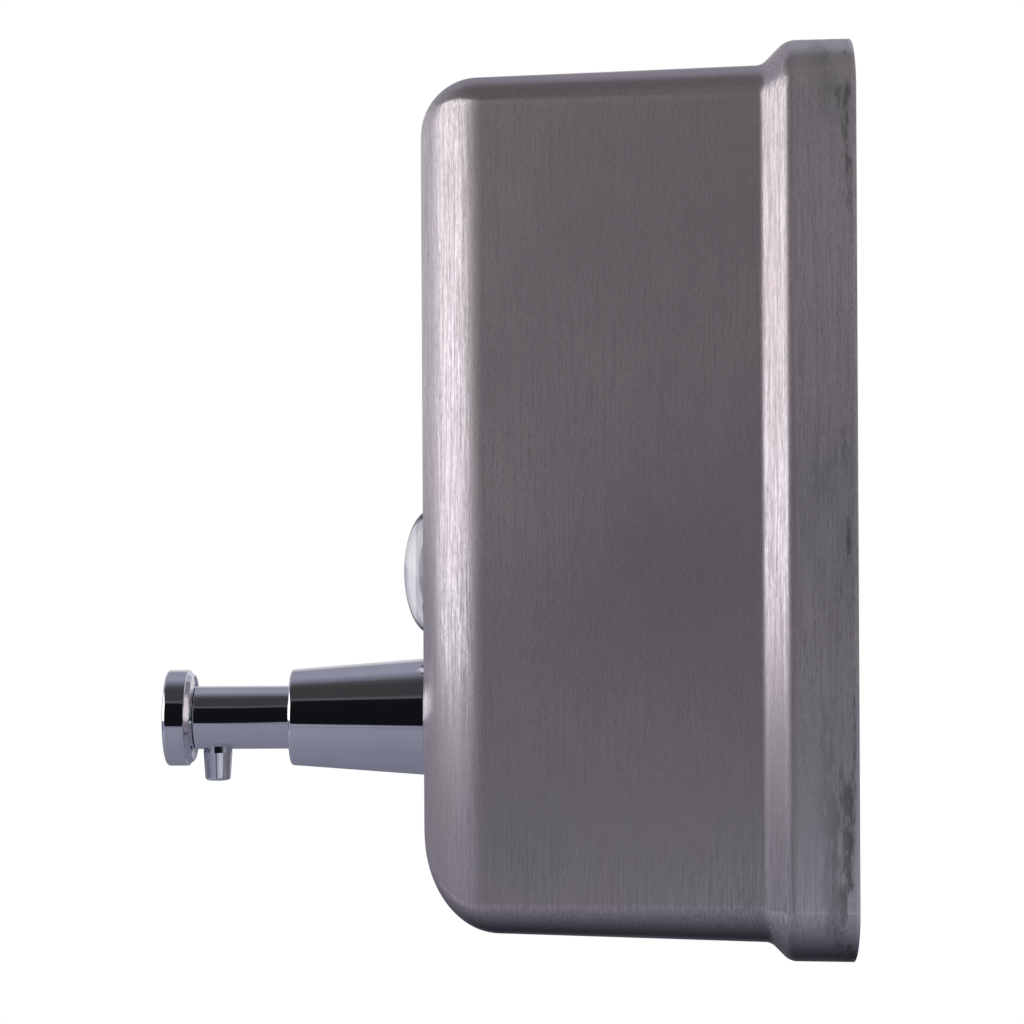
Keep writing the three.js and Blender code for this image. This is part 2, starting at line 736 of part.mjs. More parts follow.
// A one way valve in the mouth of the piston: soap leaves through it into the rod.
function outletValve() {
  const rear = PISTON.rear;
  return turned(
    [
      [0, rear - 2.9],
      [0.7, rear - 2.9],
      [1.7, rear - 1.4],
      [3.2, rear - 1.4],
      [3.2, rear - 0.2],
      [1.2, rear - 0.2],
      [0.3, rear - 1.8],
      [0, rear - 1.8],
    ],
    SMALL_ROUND,
  );
}

const SPRING = { from: PISTON.rear + 0.5, to: -57, radius: 4.75, wire: 0.42, turns: 7 };

class Helix extends THREE.Curve {
  getPoint(t, target = new THREE.Vector3()) {
    const a = t * SPRING.turns * 2 * Math.PI;
    const y = THREE.MathUtils.lerp(SPRING.from + SPRING.wire, SPRING.to - SPRING.wire, t);
    return target.set(SPRING.radius * Math.cos(a), y, SPRING.radius * Math.sin(a));
  }
}

function returnSpring() {
  const points = [];
  for (let i = 0; i < 5; i++) {
    const a = (i / 5) * 2 * Math.PI;
    points.push(new THREE.Vector2(SPRING.wire * Math.cos(a), SPRING.wire * Math.sin(a)));
  }
  const steps = SPRING.turns * 12;
  return solidOf(new THREE.ExtrudeGeometry(new THREE.Shape(points), { steps, extrudePath: new Helix() }));
}

const INLET = { y: -49, chamberZ: -8, seatZ: -13.4, endZ: -22, ballRadius: 2.4 };

// The end cap of the pump's cylinder, with a leg turned down into the soap. Heights here are from the pump's axis.
function inletElbow() {
  const capFront = HOUSING.cylinderEndY - 4;
  const cap = turned([
    [HOUSING.barrel + 0.15, capFront],
    [10.2, capFront],
    [10.2, -45],
    [9.4, -44.2],
    [0, -44.2],
    [0, -46.5],
    [4, -46.5],
    [4, SPRING.to + 0.3],
    [5.6, SPRING.to + 0.3],
    [5.6, HOUSING.cylinderEndY + 0.2],
    [HOUSING.barrel + 0.15, HOUSING.cylinderEndY + 0.2],
  ], SMALL_ROUND);
  const leg = turnedUpright(rod(4.9, INLET.endZ, -6), 0, INLET.y);
  const passage = turnedUpright(
    [
      [0, -2],
      [1.9, -2],
      [1.9, INLET.chamberZ],
      [3.1, INLET.chamberZ],
      [3.1, INLET.seatZ + 1.6],
      [1.5, INLET.seatZ],
      [1.5, INLET.seatZ - 1.2],
      [3.6, INLET.seatZ - 1.2],
      [3.6, INLET.endZ - 2],
      [0, INLET.endZ - 2],
    ],
    0,
    INLET.y,
  );
  return cap.add(leg).subtract(passage);
}

function inletBall() {
  const restZ = INLET.seatZ + 2.1;
  return solidOf(new THREE.SphereGeometry(INLET.ballRadius, 12, 8)).rotate([90, 0, 0]).translate([0, INLET.y, restZ]);
}

// The tube that reaches the bottom of the tank. Its mouth is cut at a slant.
function suctionTube() {
  const foot = bottomAt(INLET.y) + SHELL.sheet + 2.5 - PUMP.z;
  const slant = plate(rectangle(-6, 6, -8, 8), -4, 0).rotate([30, 0, 0]).translate([0, INLET.y, foot + 1]);
  return turnedUpright(tube(3.45, 2.3, INLET.seatZ - 1.5, foot), 0, INLET.y).subtract(slant);
}

// ---------------------------------------------------------------- assembly

function piece(name, solid, material, parent) {
  const mesh = new THREE.Mesh(geometryOf(solid), material);
  mesh.name = name;
  parent.add(mesh);
  return mesh;
}

const dispenser = new THREE.Group();

const topFittings = new THREE.Group();
topFittings.position.set(0, LID.y, topAt(LID.y));
topFittings.rotation.x = SHELL.draft;
dispenser.add(topFittings);

const pump = new THREE.Group();
pump.position.z = PUMP.z;
dispenser.add(pump);

piece("front_shell", frontShell(), brushedSteel, dispenser);
piece("back_pan", backPan(), plainSteel, dispenser);
piece("hanger_bracket", hangerBracket(), plainSteel, dispenser);
piece("wall_plate", wallPlate(), plainSteel, dispenser);
piece("mount_lock_screw", mountLockScrew(), springSteel, dispenser);

piece("filler_rim", fillerRim(), plainSteel, topFittings);
piece("lid_gasket", lidGasket(), rubber, topFittings);
piece("filler_lid", fillerLid(), brushedSteel, topFittings);
piece("lid_hinge_leaf", hingeLeaf(), plainSteel, topFittings);
piece("lid_hinge_pin", hingePin(), springSteel, topFittings);
piece("lock_keeper", lockKeeper(), plainSteel, topFittings);
piece("lock_barrel", lockBarrel(), chrome, topFittings);
piece("lock_nut", lockNut(), springSteel, topFittings);
piece("lock_plug", lockPlug(), chrome, topFittings);
piece("lock_cam", lockCam(), plainSteel, topFittings);
piece("lock_cam_screw", lockCamScrew(), springSteel, topFittings);

piece("window_lens", windowLens(), clearPlastic, dispenser);
piece("window_gasket", windowGasket(), rubber, dispenser);
piece("window_retainer", windowRetainer(), plainSteel, dispenser);
for (const [side, x] of [
  ["left", -studX],
  ["right", studX],
]) {
  piece(`window_stud_${side}`, windowStud(x), plainSteel, dispenser);
  piece(`window_nut_${side}`, windowNut(x), springSteel, dispenser);
}

piece("escutcheon", escutcheon(), chrome, pump);
piece("outer_washer", outerWasher(), rubber, pump);
piece("inner_washer", innerWasher(), rubber, pump);
piece("pump_housing", pumpHousing(), whitePlastic, pump);
piece("guide_bush", guideBush(), greyPlastic, pump);
piece("plunger_tube", plungerTube(), chrome, pump);
piece("push_button", pushButton(), chrome, pump);
piece("spout_nozzle", spoutNozzle(), chrome, pump);
piece("piston_rod", pistonRod(), whitePlastic, pump);
piece("piston", piston(), whitePlastic, pump);
piece("piston_seal", pistonSeal(), rubber, pump);
piece("outlet_valve", outletValve(), rubber, pump);
piece("return_spring", returnSpring(), springSteel, pump);
piece("inlet_elbow", inletElbow(), whitePlastic, pump);
piece("inlet_ball", inletBall(), springSteel, pump);
piece("suction_tube", suctionTube(), clearPlastic, pump);

export default dispenser;
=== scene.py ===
"""A wall mounted soap dispenser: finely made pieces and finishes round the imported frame.

Lengths are in metres, in the frame's axes: +X to the right seen from the room, +Y into the wall, +Z up.
"""
import json
import math
from collections import namedtuple

import bmesh
import bpy
from mathutils import Matrix, Vector


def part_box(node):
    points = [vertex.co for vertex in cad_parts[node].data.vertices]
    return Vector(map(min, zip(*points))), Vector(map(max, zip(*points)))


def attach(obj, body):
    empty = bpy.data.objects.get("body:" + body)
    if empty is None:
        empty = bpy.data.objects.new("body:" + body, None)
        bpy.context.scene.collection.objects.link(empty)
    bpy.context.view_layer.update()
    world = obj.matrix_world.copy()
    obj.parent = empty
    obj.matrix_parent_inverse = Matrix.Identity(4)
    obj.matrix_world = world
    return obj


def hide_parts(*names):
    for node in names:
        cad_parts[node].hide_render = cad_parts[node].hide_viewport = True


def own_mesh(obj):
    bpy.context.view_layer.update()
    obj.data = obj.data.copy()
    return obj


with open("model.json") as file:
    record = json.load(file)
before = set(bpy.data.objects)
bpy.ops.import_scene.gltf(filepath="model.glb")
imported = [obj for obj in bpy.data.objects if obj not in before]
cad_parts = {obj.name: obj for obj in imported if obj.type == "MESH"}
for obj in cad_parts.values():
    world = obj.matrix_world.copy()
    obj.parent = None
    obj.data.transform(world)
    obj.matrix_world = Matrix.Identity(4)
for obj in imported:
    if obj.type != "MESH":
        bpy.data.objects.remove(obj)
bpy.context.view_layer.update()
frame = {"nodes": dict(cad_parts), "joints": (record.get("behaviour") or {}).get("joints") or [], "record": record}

MM = 0.001
record = frame["record"]
joints = {joint["name"]: joint for joint in frame["joints"]}
slot_of = {row["node"]: row["material_slot"] for row in record["subparts"]}
body_of = {node: body for body, nodes in record["behaviour"]["bodies"].items() for node in nodes}

# ---------------------------------------------------------------- outlines


def filleted(corners, closed=False, steps=8):
    """A polyline through corners (a, b) or (a, b, radius), where a radius rounds its corner with an arc."""
    points = []
    count = len(corners)
    for i, (a, b, *radius) in enumerate(corners):
        here = Vector((a, b))
        if not radius or (not closed and i in (0, count - 1)):
            points.append(here)
            continue
        to_last = (Vector(corners[i - 1][:2]) - here).normalized()
        to_next = (Vector(corners[(i + 1) % count][:2]) - here).normalized()
        half = to_last.angle(to_next) / 2
        reach = radius[0] / math.tan(half)
        centre = here + (to_last + to_next).normalized() * (radius[0] / math.sin(half))
        first = here + to_last * reach - centre
        turn = first.angle_signed(here + to_next * reach - centre)
        for step in range(steps + 1):
            angle = -turn * step / steps
            c, s = math.cos(angle), math.sin(angle)
            points.append(centre + Vector((c * first.x - s * first.y, s * first.x + c * first.y)))
    return points


def rectangle(x0, x1, y0, y1, radius=None, steps=12):
    corners = [(x0, y0), (x1, y0), (x1, y1), (x0, y1)]
    if radius is None:
        return [Vector(corner) for corner in corners]
    return filleted([(*corner, radius) for corner in corners], closed=True, steps=steps)


def oval(half_width, half_height, x=0, y=0, steps=64):
    turns = [2 * math.pi * i / steps for i in range(steps)]
    return [Vector((x + half_width * math.cos(t), y + half_height * math.sin(t))) for t in turns]


# ---------------------------------------------------------------- mesh making

SHARP = math.radians(38)
ON_AXIS = 1e-9  # a smaller radius than this is a point on the axis


def mesh_piece(name, verts, faces):
    """A closed mesh from points and faces, smooth but for its sharp edges."""
    mesh = bpy.data.meshes.new(name)
    mesh.from_pydata([tuple(v) for v in verts], [], faces)
    piece = bpy.data.objects.new(name, mesh)
    bpy.context.scene.collection.objects.link(piece)
    tidy(mesh)
    return piece


def tidy(mesh):
    """Joins double points, turns all faces outwards, and shades smooth but for sharp edges."""
    work = bmesh.new()
    work.from_mesh(mesh)
    bmesh.ops.remove_doubles(work, verts=work.verts, dist=1e-7)
    bmesh.ops.recalc_face_normals(work, faces=work.faces)
    work.to_mesh(mesh)
    work.free()
    mesh.shade_smooth()
    mesh.set_sharp_from_angle(angle=SHARP)


def keep_flats(piece):
    """Keeps flat faces flat beside rounded edges."""
    weigh = piece.modifiers.new("flat faces", "WEIGHTED_NORMAL")
    weigh.keep_sharp = True
    weigh.weight = 80


def loft(name, rings):
    """A closed surface through rings of equally many points, with a flat fan at each end."""
    count = len(rings[0])
    verts = [point for ring in rings for point in ring]
    verts += [sum(ring, Vector()) / count for ring in (rings[0], rings[-1])]
    first_centre, last_centre = len(verts) - 2, len(verts) - 1
    last = (len(rings) - 1) * count
    faces = []
    for j in range(count):
        after = (j + 1) % count
        faces.append((first_centre, after, j))
        faces.append((last_centre, last + j, last + after))
        for i in range(0, last, count):
            faces.append((i + j, i + after, i + count + after, i + count + j))
    return mesh_piece(name, verts, faces)


def turned(name, outline, place=Matrix(), segments=96):
    """A piece turned round the Y axis of place, from an outline of (radius, y).

    The axis closes an outline that starts on it, and any other outline closes on itself."""
    on_axis = outline[0][0] < ON_AXIS
    verts, rows = [], []
    for radius, y in outline:
        if radius < ON_AXIS:
            rows.append([len(verts)] * segments)
            verts.append(Vector((0, y, 0)))
            continue
        rows.append(list(range(len(verts), len(verts) + segments)))
        for j in range(segments):
            angle = 2 * math.pi * j / segments
            verts.append(Vector((radius * math.cos(angle), y, radius * math.sin(angle))))
    faces = []
    for i in range(len(rows) - 1 if on_axis else len(rows)):
        here, there = rows[i], rows[(i + 1) % len(rows)]
        for j in range(segments):
            after = (j + 1) % segments
            corners = [here[j], here[after], there[after], there[j]]
            face = tuple(dict.fromkeys(corners))
            if len(face) > 2:
                faces.append(face)
    return mesh_piece(name, [place @ v for v in verts], faces)


# A turned piece lies along Y. These stand it up round Z, or lay it along X.
UPRIGHT = Matrix.Rotation(math.pi / 2, 4, "X")
ACROSS = Matrix.Rotation(-math.pi / 2, 4, "Z")
# A plate's outline is in X and Y. These leave it there, put it in X and Z, or put it in Y and Z.
FLAT = Matrix()
FACING_WALL = Matrix(((1, 0, 0, 0), (0, 0, 1, 0), (0, 1, 0, 0), (0, 0, 0, 1)))
SIDEWAYS = Matrix(((0, 0, 1, 0), (1, 0, 0, 0), (0, 1, 0, 0), (0, 0, 0, 1)))


def slab(name, outlines, low, high, edge=0.0, place=FLAT):
    """A plate between two depths, with rounded edges. The first outline is its rim and the rest are holes."""
    curve = bpy.data.curves.new(name, "CURVE")
    curve.dimensions = "2D"
    curve.fill_mode = "BOTH"
    curve.extrude = (high - low) / 2 - edge
    curve.bevel_depth = edge
    curve.bevel_resolution = 3
    curve.offset = -edge
    for outline in outlines:
        spline = curve.splines.new("POLY")
        spline.points.add(len(outline) - 1)
        for point, (a, b) in zip(spline.points, outline):
            point.co = (a, b, 0, 1)
        spline.use_cyclic_u = True
    rough = bpy.data.objects.new(name, curve)
    bpy.context.scene.collection.objects.link(rough)
    bpy.context.view_layer.update()
    mesh = bpy.data.meshes.new_from_object(rough.evaluated_get(bpy.context.evaluated_depsgraph_get()))
    bpy.data.objects.remove(rough)
    bpy.data.curves.remove(curve)
    mesh.transform(place @ Matrix.Translation((0, 0, (high + low) / 2)))
    mesh.name = name
    mesh.materials.clear()
    piece = bpy.data.objects.new(name, mesh)
    bpy.context.scene.collection.objects.link(piece)
    tidy(mesh)
    return piece


def combine(piece, other, operation):
    """Joins or cuts a piece with another, which is used up."""
    step = piece.modifiers.new("step", "BOOLEAN")
    step.operation = operation
    step.solver = "EXACT"
    step.object = other
    bpy.context.view_layer.update()
    result = bpy.data.meshes.new_from_object(piece.evaluated_get(bpy.context.evaluated_depsgraph_get()))
    piece.modifiers.clear()
    old, used = piece.data, other.data
    piece.data = result
    result.name = piece.name
    bpy.data.meshes.remove(old)
    bpy.data.objects.remove(other)
    bpy.data.meshes.remove(used)
    tidy(result)
    return piece


def cut(piece, other):
    return combine(piece, other, "DIFFERENCE")


def join(piece, other):
    return combine(piece, other, "UNION")


# ---------------------------------------------------------------- finishes


class Nodes:
    """A node tree, with short calls for the nodes that the finishes and the room share."""

    def __init__(self, tree):
        self.tree = tree

    def node(self, kind, inputs=(), **settings):
        made = self.tree.nodes.new(kind)
        for key, value in settings.items():
            setattr(made, key, value)
        for socket, value in dict(inputs).items():
            self.feed(made.inputs[socket], value)
        return made

    def feed(self, socket, value):
        if isinstance(value, bpy.types.NodeSocket):
            self.tree.links.new(value, socket)
        else:
            socket.default_value = value

    def span(self, value, from_low, from_high, low, high):
        """A value moved from one range to another, and held in it."""
        made = self.node(
            "ShaderNodeMapRange",
            {"Value": value, "From Min": from_low, "From Max": from_high, "To Min": low, "To Max": high},
        )
        return made.outputs[0]

    def math(self, operation, a, b=0.0, c=0.0):
        return self.node("ShaderNodeMath", {0: a, 1: b, 2: c}, operation=operation).outputs[0]


class Finish(Nodes):
    """A material, and short calls for what finishes are made from."""

    def __init__(self, name, **sockets):
        self.material = bpy.data.materials.new(name)
        self.material.use_nodes = True
        super().__init__(self.material.node_tree)
        self.shader = self.tree.nodes["Principled BSDF"]
        for socket, value in sockets.items():
            self.shader.inputs[socket.replace("_", " ")].default_value = value
        coordinates = self.node("ShaderNodeTexCoord")
        self.place = coordinates.outputs["Object"]
        self.facing = coordinates.outputs["Normal"]

    def noise(self, scale, detail=3.0, rough=0.6, stretch=(1, 1, 1), shift=0.0):
        """Noise with about scale spots to the metre, from 0 to 1, with its coordinates stretched."""
        scales = [scale * s for s in stretch]
        shifts = (shift, shift, shift)
        place = self.node("ShaderNodeMapping", {"Vector": self.place, "Scale": scales, "Location": shifts})
        made = self.node(
            "ShaderNodeTexNoise",
            {"Vector": place.outputs[0], "Scale": 1.0, "Detail": detail, "Roughness": rough},
        )
        return made.outputs[0]

    def along(self, vector, axis):
        return self.node("ShaderNodeSeparateXYZ", {0: vector}).outputs[axis]

    def mix(self, factor, a, b):
        made = self.node("ShaderNodeMix", data_type="RGBA")
        for socket, value in ((made.inputs[0], factor), (made.inputs[6], a), (made.inputs[7], b)):
            self.feed(socket, value)
        return made.outputs[2]

    def blend(self, share, a, b):
        """A number between a and b."""
        rest = self.math("SUBTRACT", 1.0, share)
        return self.math("ADD", self.math("MULTIPLY", a, rest), self.math("MULTIPLY", b, share))

    def use(self, socket, value):
        self.tree.links.new(value, self.shader.inputs[socket])

    def bump(self, height, depth, strength=1.0, under=None):
        inputs = {"Height": height, "Distance": depth, "Strength": strength}
        if under is not None:
            inputs["Normal"] = under
        return self.node("ShaderNodeBump", inputs).outputs[0]


def shade(colour, factor):
    """A colour made lighter or darker."""
    return (*[min(c * factor, 1) for c in colour[:3]], 1)


Hairs = namedtuple("Hairs", "scale length shift low high weight")
LONG_HAIRS = Hairs(2500, 0.022, 0.0, 0.37, 0.63, 0.55)
SHORT_HAIRS = Hairs(3100, 0.16, 3.1, 0.40, 0.70, 0.45)
LEVEL_GRAIN = 0.35  # how much of the grain's contrast is left on level faces


def hairlines(f, level):
    """Brushed grain, from 0 to 1 round a half. It runs up the walls and across the level faces."""
    grain = 0.0
    for hairs in (LONG_HAIRS, SHORT_HAIRS):
        upright, across = [
            f.noise(hairs.scale, detail=3.0, rough=0.75, stretch=stretch, shift=hairs.shift)
            for stretch in ((1, 1, hairs.length), (hairs.length, 1, 1))
        ]
        lines = f.span(f.blend(level, upright, across), hairs.low, hairs.high, 0.0, 1.0)
        grain = f.math("ADD", grain, f.math("MULTIPLY", lines, hairs.weight))
    contrast = f.span(level, 0, 1, 1.0, LEVEL_GRAIN)
    return f.math("ADD", f.math("MULTIPLY", f.math("SUBTRACT", grain, 0.5), contrast), 0.5)


def wall_side_stains_and_painted_light(f, base, colour, stained):
    """Near the wall: painted light that makes the flange brighter, stains that thicken towards its edge, and a
    painted highlight along the cut edge.

    Gives the new colour, and where the stains are."""
    y = f.along(f.place, "Y")
    # painted light: the flange's colour is lifted so that it looks more brightly lit than the wall in front of it
    flange = f.span(y, -15 * MM, -13 * MM, 0.0, 0.35)
    base = f.mix(flange, base, shade(colour, 1.8))
    marks = f.noise(150, detail=6.0, rough=0.75, stretch=(1, 1, 0.25), shift=11)
    near_edge = f.math("POWER", f.span(y, -13 * MM, -2 * MM, 0.0, 1.0), 1.5)
    stains = f.math("MULTIPLY", f.span(marks, 0.52, 0.6, 0.0, stained), near_edge)
    base = f.mix(stains, base, shade(colour, 0.12))
    # painted highlight: a light line in the colour along the sheet's cut edge at the wall
    edge_painted_highlight = f.span(y, -1.1 * MM, -0.5 * MM, 0.0, 0.7)
    return f.mix(edge_painted_highlight, base, shade(colour, 1.7)), stains


def brushed_steel(name, colour, roughness, anisotropy=0.85, stained=0.7):
    """Stainless sheet with hairlines, faint warm clouding, stains and painted light near the wall, and painted
    shade on the underside.
    """
    f = Finish(name, Metallic=0.69, Anisotropic=anisotropy)
    upward = f.along(f.facing, "Z")
    grain = hairlines(f, f.span(f.math("ABSOLUTE", upward), 0.6, 0.8, 0.0, 1.0))
    clouds = f.noise(20, detail=4.0, rough=0.55, shift=7.7)
    red, green, blue = colour
    warm = (min(red * 1.02, 1), green * 0.94, blue * 0.955, 1)
    base = f.mix(grain, shade(colour, 0.62), shade(colour, 1.38))
    base = f.mix(f.span(clouds, 0.42, 0.68, 0.0, 0.5), base, warm)
    base, stains = wall_side_stains_and_painted_light(f, base, colour, stained)
    # painted shade: the colour goes nearly black as the faces turn downwards
    f.use("Base Color", f.mix(f.span(upward, -0.82, -0.12, 0.0, 1.0), (0.02, 0.02, 0.024, 1), base))
    polish = f.span(grain, 0, 1, roughness + 0.1, roughness - 0.1)
    rough = f.math("ADD", polish, f.span(clouds, 0.3, 0.7, -0.02, 0.02))
    f.use("Roughness", f.math("ADD", rough, f.math("MULTIPLY", stains, 0.12)))
    wavy = f.bump(f.noise(14, detail=1.0), 0.25 * MM, 0.3)
    f.use("Normal", f.bump(grain, 0.006 * MM, 0.5, wavy))
    if anisotropy:
        f.use("Tangent", f.node("ShaderNodeTangent", direction_type="RADIAL", axis="Z").outputs[0])
    return f.material


def chrome():
    """Polished plate with faint smears and the soft ripple of the metal below."""
    f = Finish("chrome", Metallic=1.0)
    smears = f.noise(90, detail=4.0, rough=0.65, stretch=(1, 0.4, 1))
    specks = f.noise(1500, detail=1.0, shift=5)
    rough = f.math("ADD", f.span(smears, 0.45, 0.75, 0.028, 0.085), f.span(specks, 0.7, 0.8, 0.0, 0.05))
    f.use("Base Color", f.mix(f.span(smears, 0.4, 0.7, 0, 1), (0.80, 0.81, 0.85, 1), (0.74, 0.75, 0.79, 1)))
    f.use("Roughness", rough)
    f.use("Normal", f.bump(f.noise(160, detail=1.5), 0.02 * MM, 0.3))
    return f.material


def bright_steel():
    """Turned and drawn stainless: fine rings of the tool, with darker spots of handling."""
    f = Finish("bright_steel", Metallic=1.0)
    rings = f.noise(3000, detail=2.0, stretch=(1, 1, 0.2))
    spots = f.noise(300, detail=4.0, shift=2)
    f.use("Base Color", f.mix(f.span(spots, 0.4, 0.7, 0, 1), (0.62, 0.62, 0.64, 1), (0.45, 0.45, 0.47, 1)))
    f.use("Roughness", f.span(rings, 0.3, 0.7, 0.2, 0.34))
    f.use("Normal", f.bump(rings, 0.01 * MM, 0.4))
    return f.material


def moulded(name, colour, roughness):
    """Moulded plastic with a fine spark-eroded grain and slightly uneven gloss."""
    f = Finish(name)
    grain = f.noise(2600, detail=2.0)
    patches = f.noise(60, detail=3.0, shift=4)
    f.use("Base Color", f.mix(f.span(patches, 0.35, 0.7, 0, 1), (*colour, 1), shade(colour, 0.9)))
    f.use("Roughness", f.span(patches, 0.3, 0.7, roughness - 0.06, roughness + 0.08))
    f.use("Normal", f.bump(grain, 0.02 * MM, 0.5))
    return f.material


def rubber():
    """Black rubber with a pale bloom in places and a fine matt grain."""
    f = Finish("rubber")
    grain = f.noise(3200, detail=3.0)
    bloom = f.noise(120, detail=4.0, shift=9)
    black, grey = (0.018, 0.018, 0.02, 1), (0.05, 0.05, 0.052, 1)
    f.use("Base Color", f.mix(f.span(bloom, 0.4, 0.75, 0, 1), black, grey))
    f.use("Roughness", f.span(bloom, 0.3, 0.7, 0.62, 0.82))
    f.use("Normal", f.bump(grain, 0.03 * MM, 0.6))
    return f.material


def clear_plastic():
    """Clear moulded acrylic with a slight haze and flow lines, and painted shade where it enters the shell."""
    f = Finish("clear_plastic", Transmission_Weight=1.0, IOR=1.49)
    haze = f.noise(110, detail=4.0, stretch=(1, 1, 0.4))
    tint = f.mix(f.span(haze, 0.35, 0.7, 0, 1), (0.76, 0.755, 0.81, 1), (0.68, 0.675, 0.74, 1))
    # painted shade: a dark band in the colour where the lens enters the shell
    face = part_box("front_shell")[0].y
    seat = f.span(f.along(f.place, "Y"), face - 3.4 * MM, face - 3.1 * MM, 0.0, 1.0)
    f.use("Base Color", f.mix(seat, tint, (0.33, 0.335, 0.37, 1)))
    f.use("Roughness", f.span(haze, 0.4, 0.75, 0.02, 0.09))
    f.use("Normal", f.bump(f.noise(70, detail=1.0), 0.05 * MM, 0.3))
    return f.material


STEEL = (0.58, 0.535, 0.552)
finishes = {
    "brushed_shell": brushed_steel("brushed_shell", STEEL, 0.27),
    "plain_steel": brushed_steel("plain_steel", (0.50, 0.50, 0.51), 0.42, anisotropy=0.0, stained=0.15),
    "fasteners": bright_steel(),
    "bright_chrome": chrome(),
    "clear_lens": clear_plastic(),
    "white_plastic": moulded("white_plastic", (0.80, 0.80, 0.76), 0.42),
    "grey_plastic": moulded("grey_plastic", (0.17, 0.18, 0.19), 0.5),
    "seals": rubber(),
}
lid_steel = brushed_steel("brushed_lid", STEEL, 0.33, anisotropy=0.0)


replaced = set()


def stands_for(piece, node, material=None):
    """The fine piece takes the place, the body and the finish of a CAD node."""
    replaced.add(node)
    keep_flats(piece)
    piece.data.materials.append(material or finishes[slot_of[node]])
    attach(piece, body_of[node])
    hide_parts(node)


def dress(node):
    """A CAD node keeps its own shape: its facets are joined, its edges broken and its finish put on."""
    cad = frame["nodes"][node]
    cad.data.materials.clear()
    cad.data.materials.append(finishes[slot_of[node]])
    weld = cad.modifiers.new("weld", "WELD")
    weld.merge_threshold = 0.002 * MM
    planar = cad.modifiers.new("planar", "DECIMATE")
    planar.decimate_type = "DISSOLVE"
    planar.angle_limit = math.radians(1)
    bevel = cad.modifiers.new("edges", "BEVEL")
    bevel.width = 0.12 * MM
    bevel.segments = 2
    bevel.limit_method = "ANGLE"
    bevel.angle_limit = SHARP
    bevel.use_clamp_overlap = True
    for polygon in cad.data.polygons:
        polygon.use_smooth = True
    keep_flats(cad)


# ---------------------------------------------------------------- the drawn shell

DRAFT = math.radians(2)
FLANGE_DRAFT = math.radians(1)
SHEET = 1 * MM
CORNER = 7.5 * MM
CORNER_SHRINK = 0.35
CORNER_GROWTH = 0.8
# The section of each wall: its front rounding runs back along Y and pulls inwards, and its step slopes up to
# the flange from a distance before the room's wall.
Wall = namedtuple("Wall", "run pull step_start step inner_bend outer_bend")
SIDES = Wall(14 * MM, 14 * MM, 21 * MM, 4.4 * MM, 2.6 * MM, 3.0 * MM)
TOP = Wall(13 * MM, 11.5 * MM, 20.8 * MM, 5.4 * MM, 3.2 * MM, 5.2 * MM)
BOTTOM = Wall(17 * MM, 21 * MM, 19.6 * MM, 4.1 * MM, 3.2 * MM, 3.9 * MM)

shell_low, shell_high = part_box("front_shell")
FRONT_Y = shell_low.y
STEP_SLOPE = math.pi / 4
ROUNDING_STEPS, BEND_STEPS, CORNER_STEPS = 24, 8, 16


def shell_profile(wall):
    """The section of one wall, front to back, as (y, outward distance)."""
    points = []
    for i in range(ROUNDING_STEPS + 1):
        angle = i / ROUNDING_STEPS * math.pi / 2
        y = FRONT_Y + wall.run * (1 - math.cos(angle))
        points.append(Vector((y, (y - FRONT_Y) * math.tan(DRAFT) - wall.pull * (1 - math.sin(angle)))))
    foot = (-FRONT_Y - wall.step_start) * math.tan(DRAFT)
    for i in range(BEND_STEPS + 1):
        angle = i / BEND_STEPS * STEP_SLOPE
        rise = wall.inner_bend * (1 - math.cos(angle))
        points.append(Vector((wall.inner_bend * math.sin(angle) - wall.step_start, foot + rise)))
    crest = foot + wall.step
    ramp = points[-1]
    ramp_top = crest - wall.outer_bend * (1 - math.cos(STEP_SLOPE))
    flat_y = ramp.x + ramp_top - ramp.y + wall.outer_bend * math.sin(STEP_SLOPE)
    for i in range(BEND_STEPS, -1, -1):
        angle = i / BEND_STEPS * STEP_SLOPE
        drop = wall.outer_bend * (1 - math.cos(angle))
        points.append(Vector((flat_y - wall.outer_bend * math.sin(angle), crest - drop)))
    for share in (0.5, 0.95, 1.0):
        y = flat_y * (1 - share)
        points.append(Vector((y, crest + (y - flat_y) * math.tan(FLANGE_DRAFT))))
    return points


def inset(points, thickness):
    """The profile moved inwards by the thickness of the sheet."""
    moved = []
    for i, here in enumerate(points):
        into = (here - points[i - 1]).normalized() if i else Vector((0, 1))
        out = (points[i + 1] - here).normalized() if i + 1 < len(points) else into
        normal = Vector((into.y + out.y, -into.x - out.x)).normalized()
        moved.append(here + normal * thickness / (normal.x * into.y - normal.y * into.x))
    return moved


def wall_rise(wall):
    return shell_profile(wall)[-1].y


HALF_WIDTH = shell_high.x - wall_rise(SIDES)
TOP_HEIGHT = shell_high.z - wall_rise(TOP)
BOTTOM_HEIGHT = -shell_low.z - wall_rise(BOTTOM)


def corner_at(rise):
    """The corner radius, seen from the front, where the side walls stand out by rise."""
    return CORNER + min(rise, 0) * CORNER_SHRINK + max(rise, 0) * CORNER_GROWTH


def shell_rings(thickness):
    """Rings of the shell's skin. A direction between the sides and the ends takes a share of each section."""
    profiles = [shell_profile(wall) for wall in (SIDES, TOP, BOTTOM)]
    sides, top, bottom = [inset(profile, thickness) if thickness else profile for profile in profiles]
    rings = []
    for i, (side, outer) in enumerate(zip(sides, shell_profile(SIDES))):
        corner = corner_at(outer.y) - thickness
        ring = []
        for quarter in range(4):
            upper = quarter < 2
            end = (top if upper else bottom)[i]
            height = TOP_HEIGHT if upper else BOTTOM_HEIGHT
            centre_x = (1 if quarter in (0, 3) else -1) * (HALF_WIDTH + side.y - corner)
            centre_z = (1 if upper else -1) * (height + end.y - corner)
            for step in range(CORNER_STEPS + 1):
                angle = (quarter + step / CORNER_STEPS) * math.pi / 2
                nx, nz = math.cos(angle), math.sin(angle)
                y = min(side.x * nx * nx + end.x * nz * nz, 0)
                ring.append(Vector((centre_x + corner * nx, y, centre_z + corner * nz)))
        rings.append(ring)
    return rings


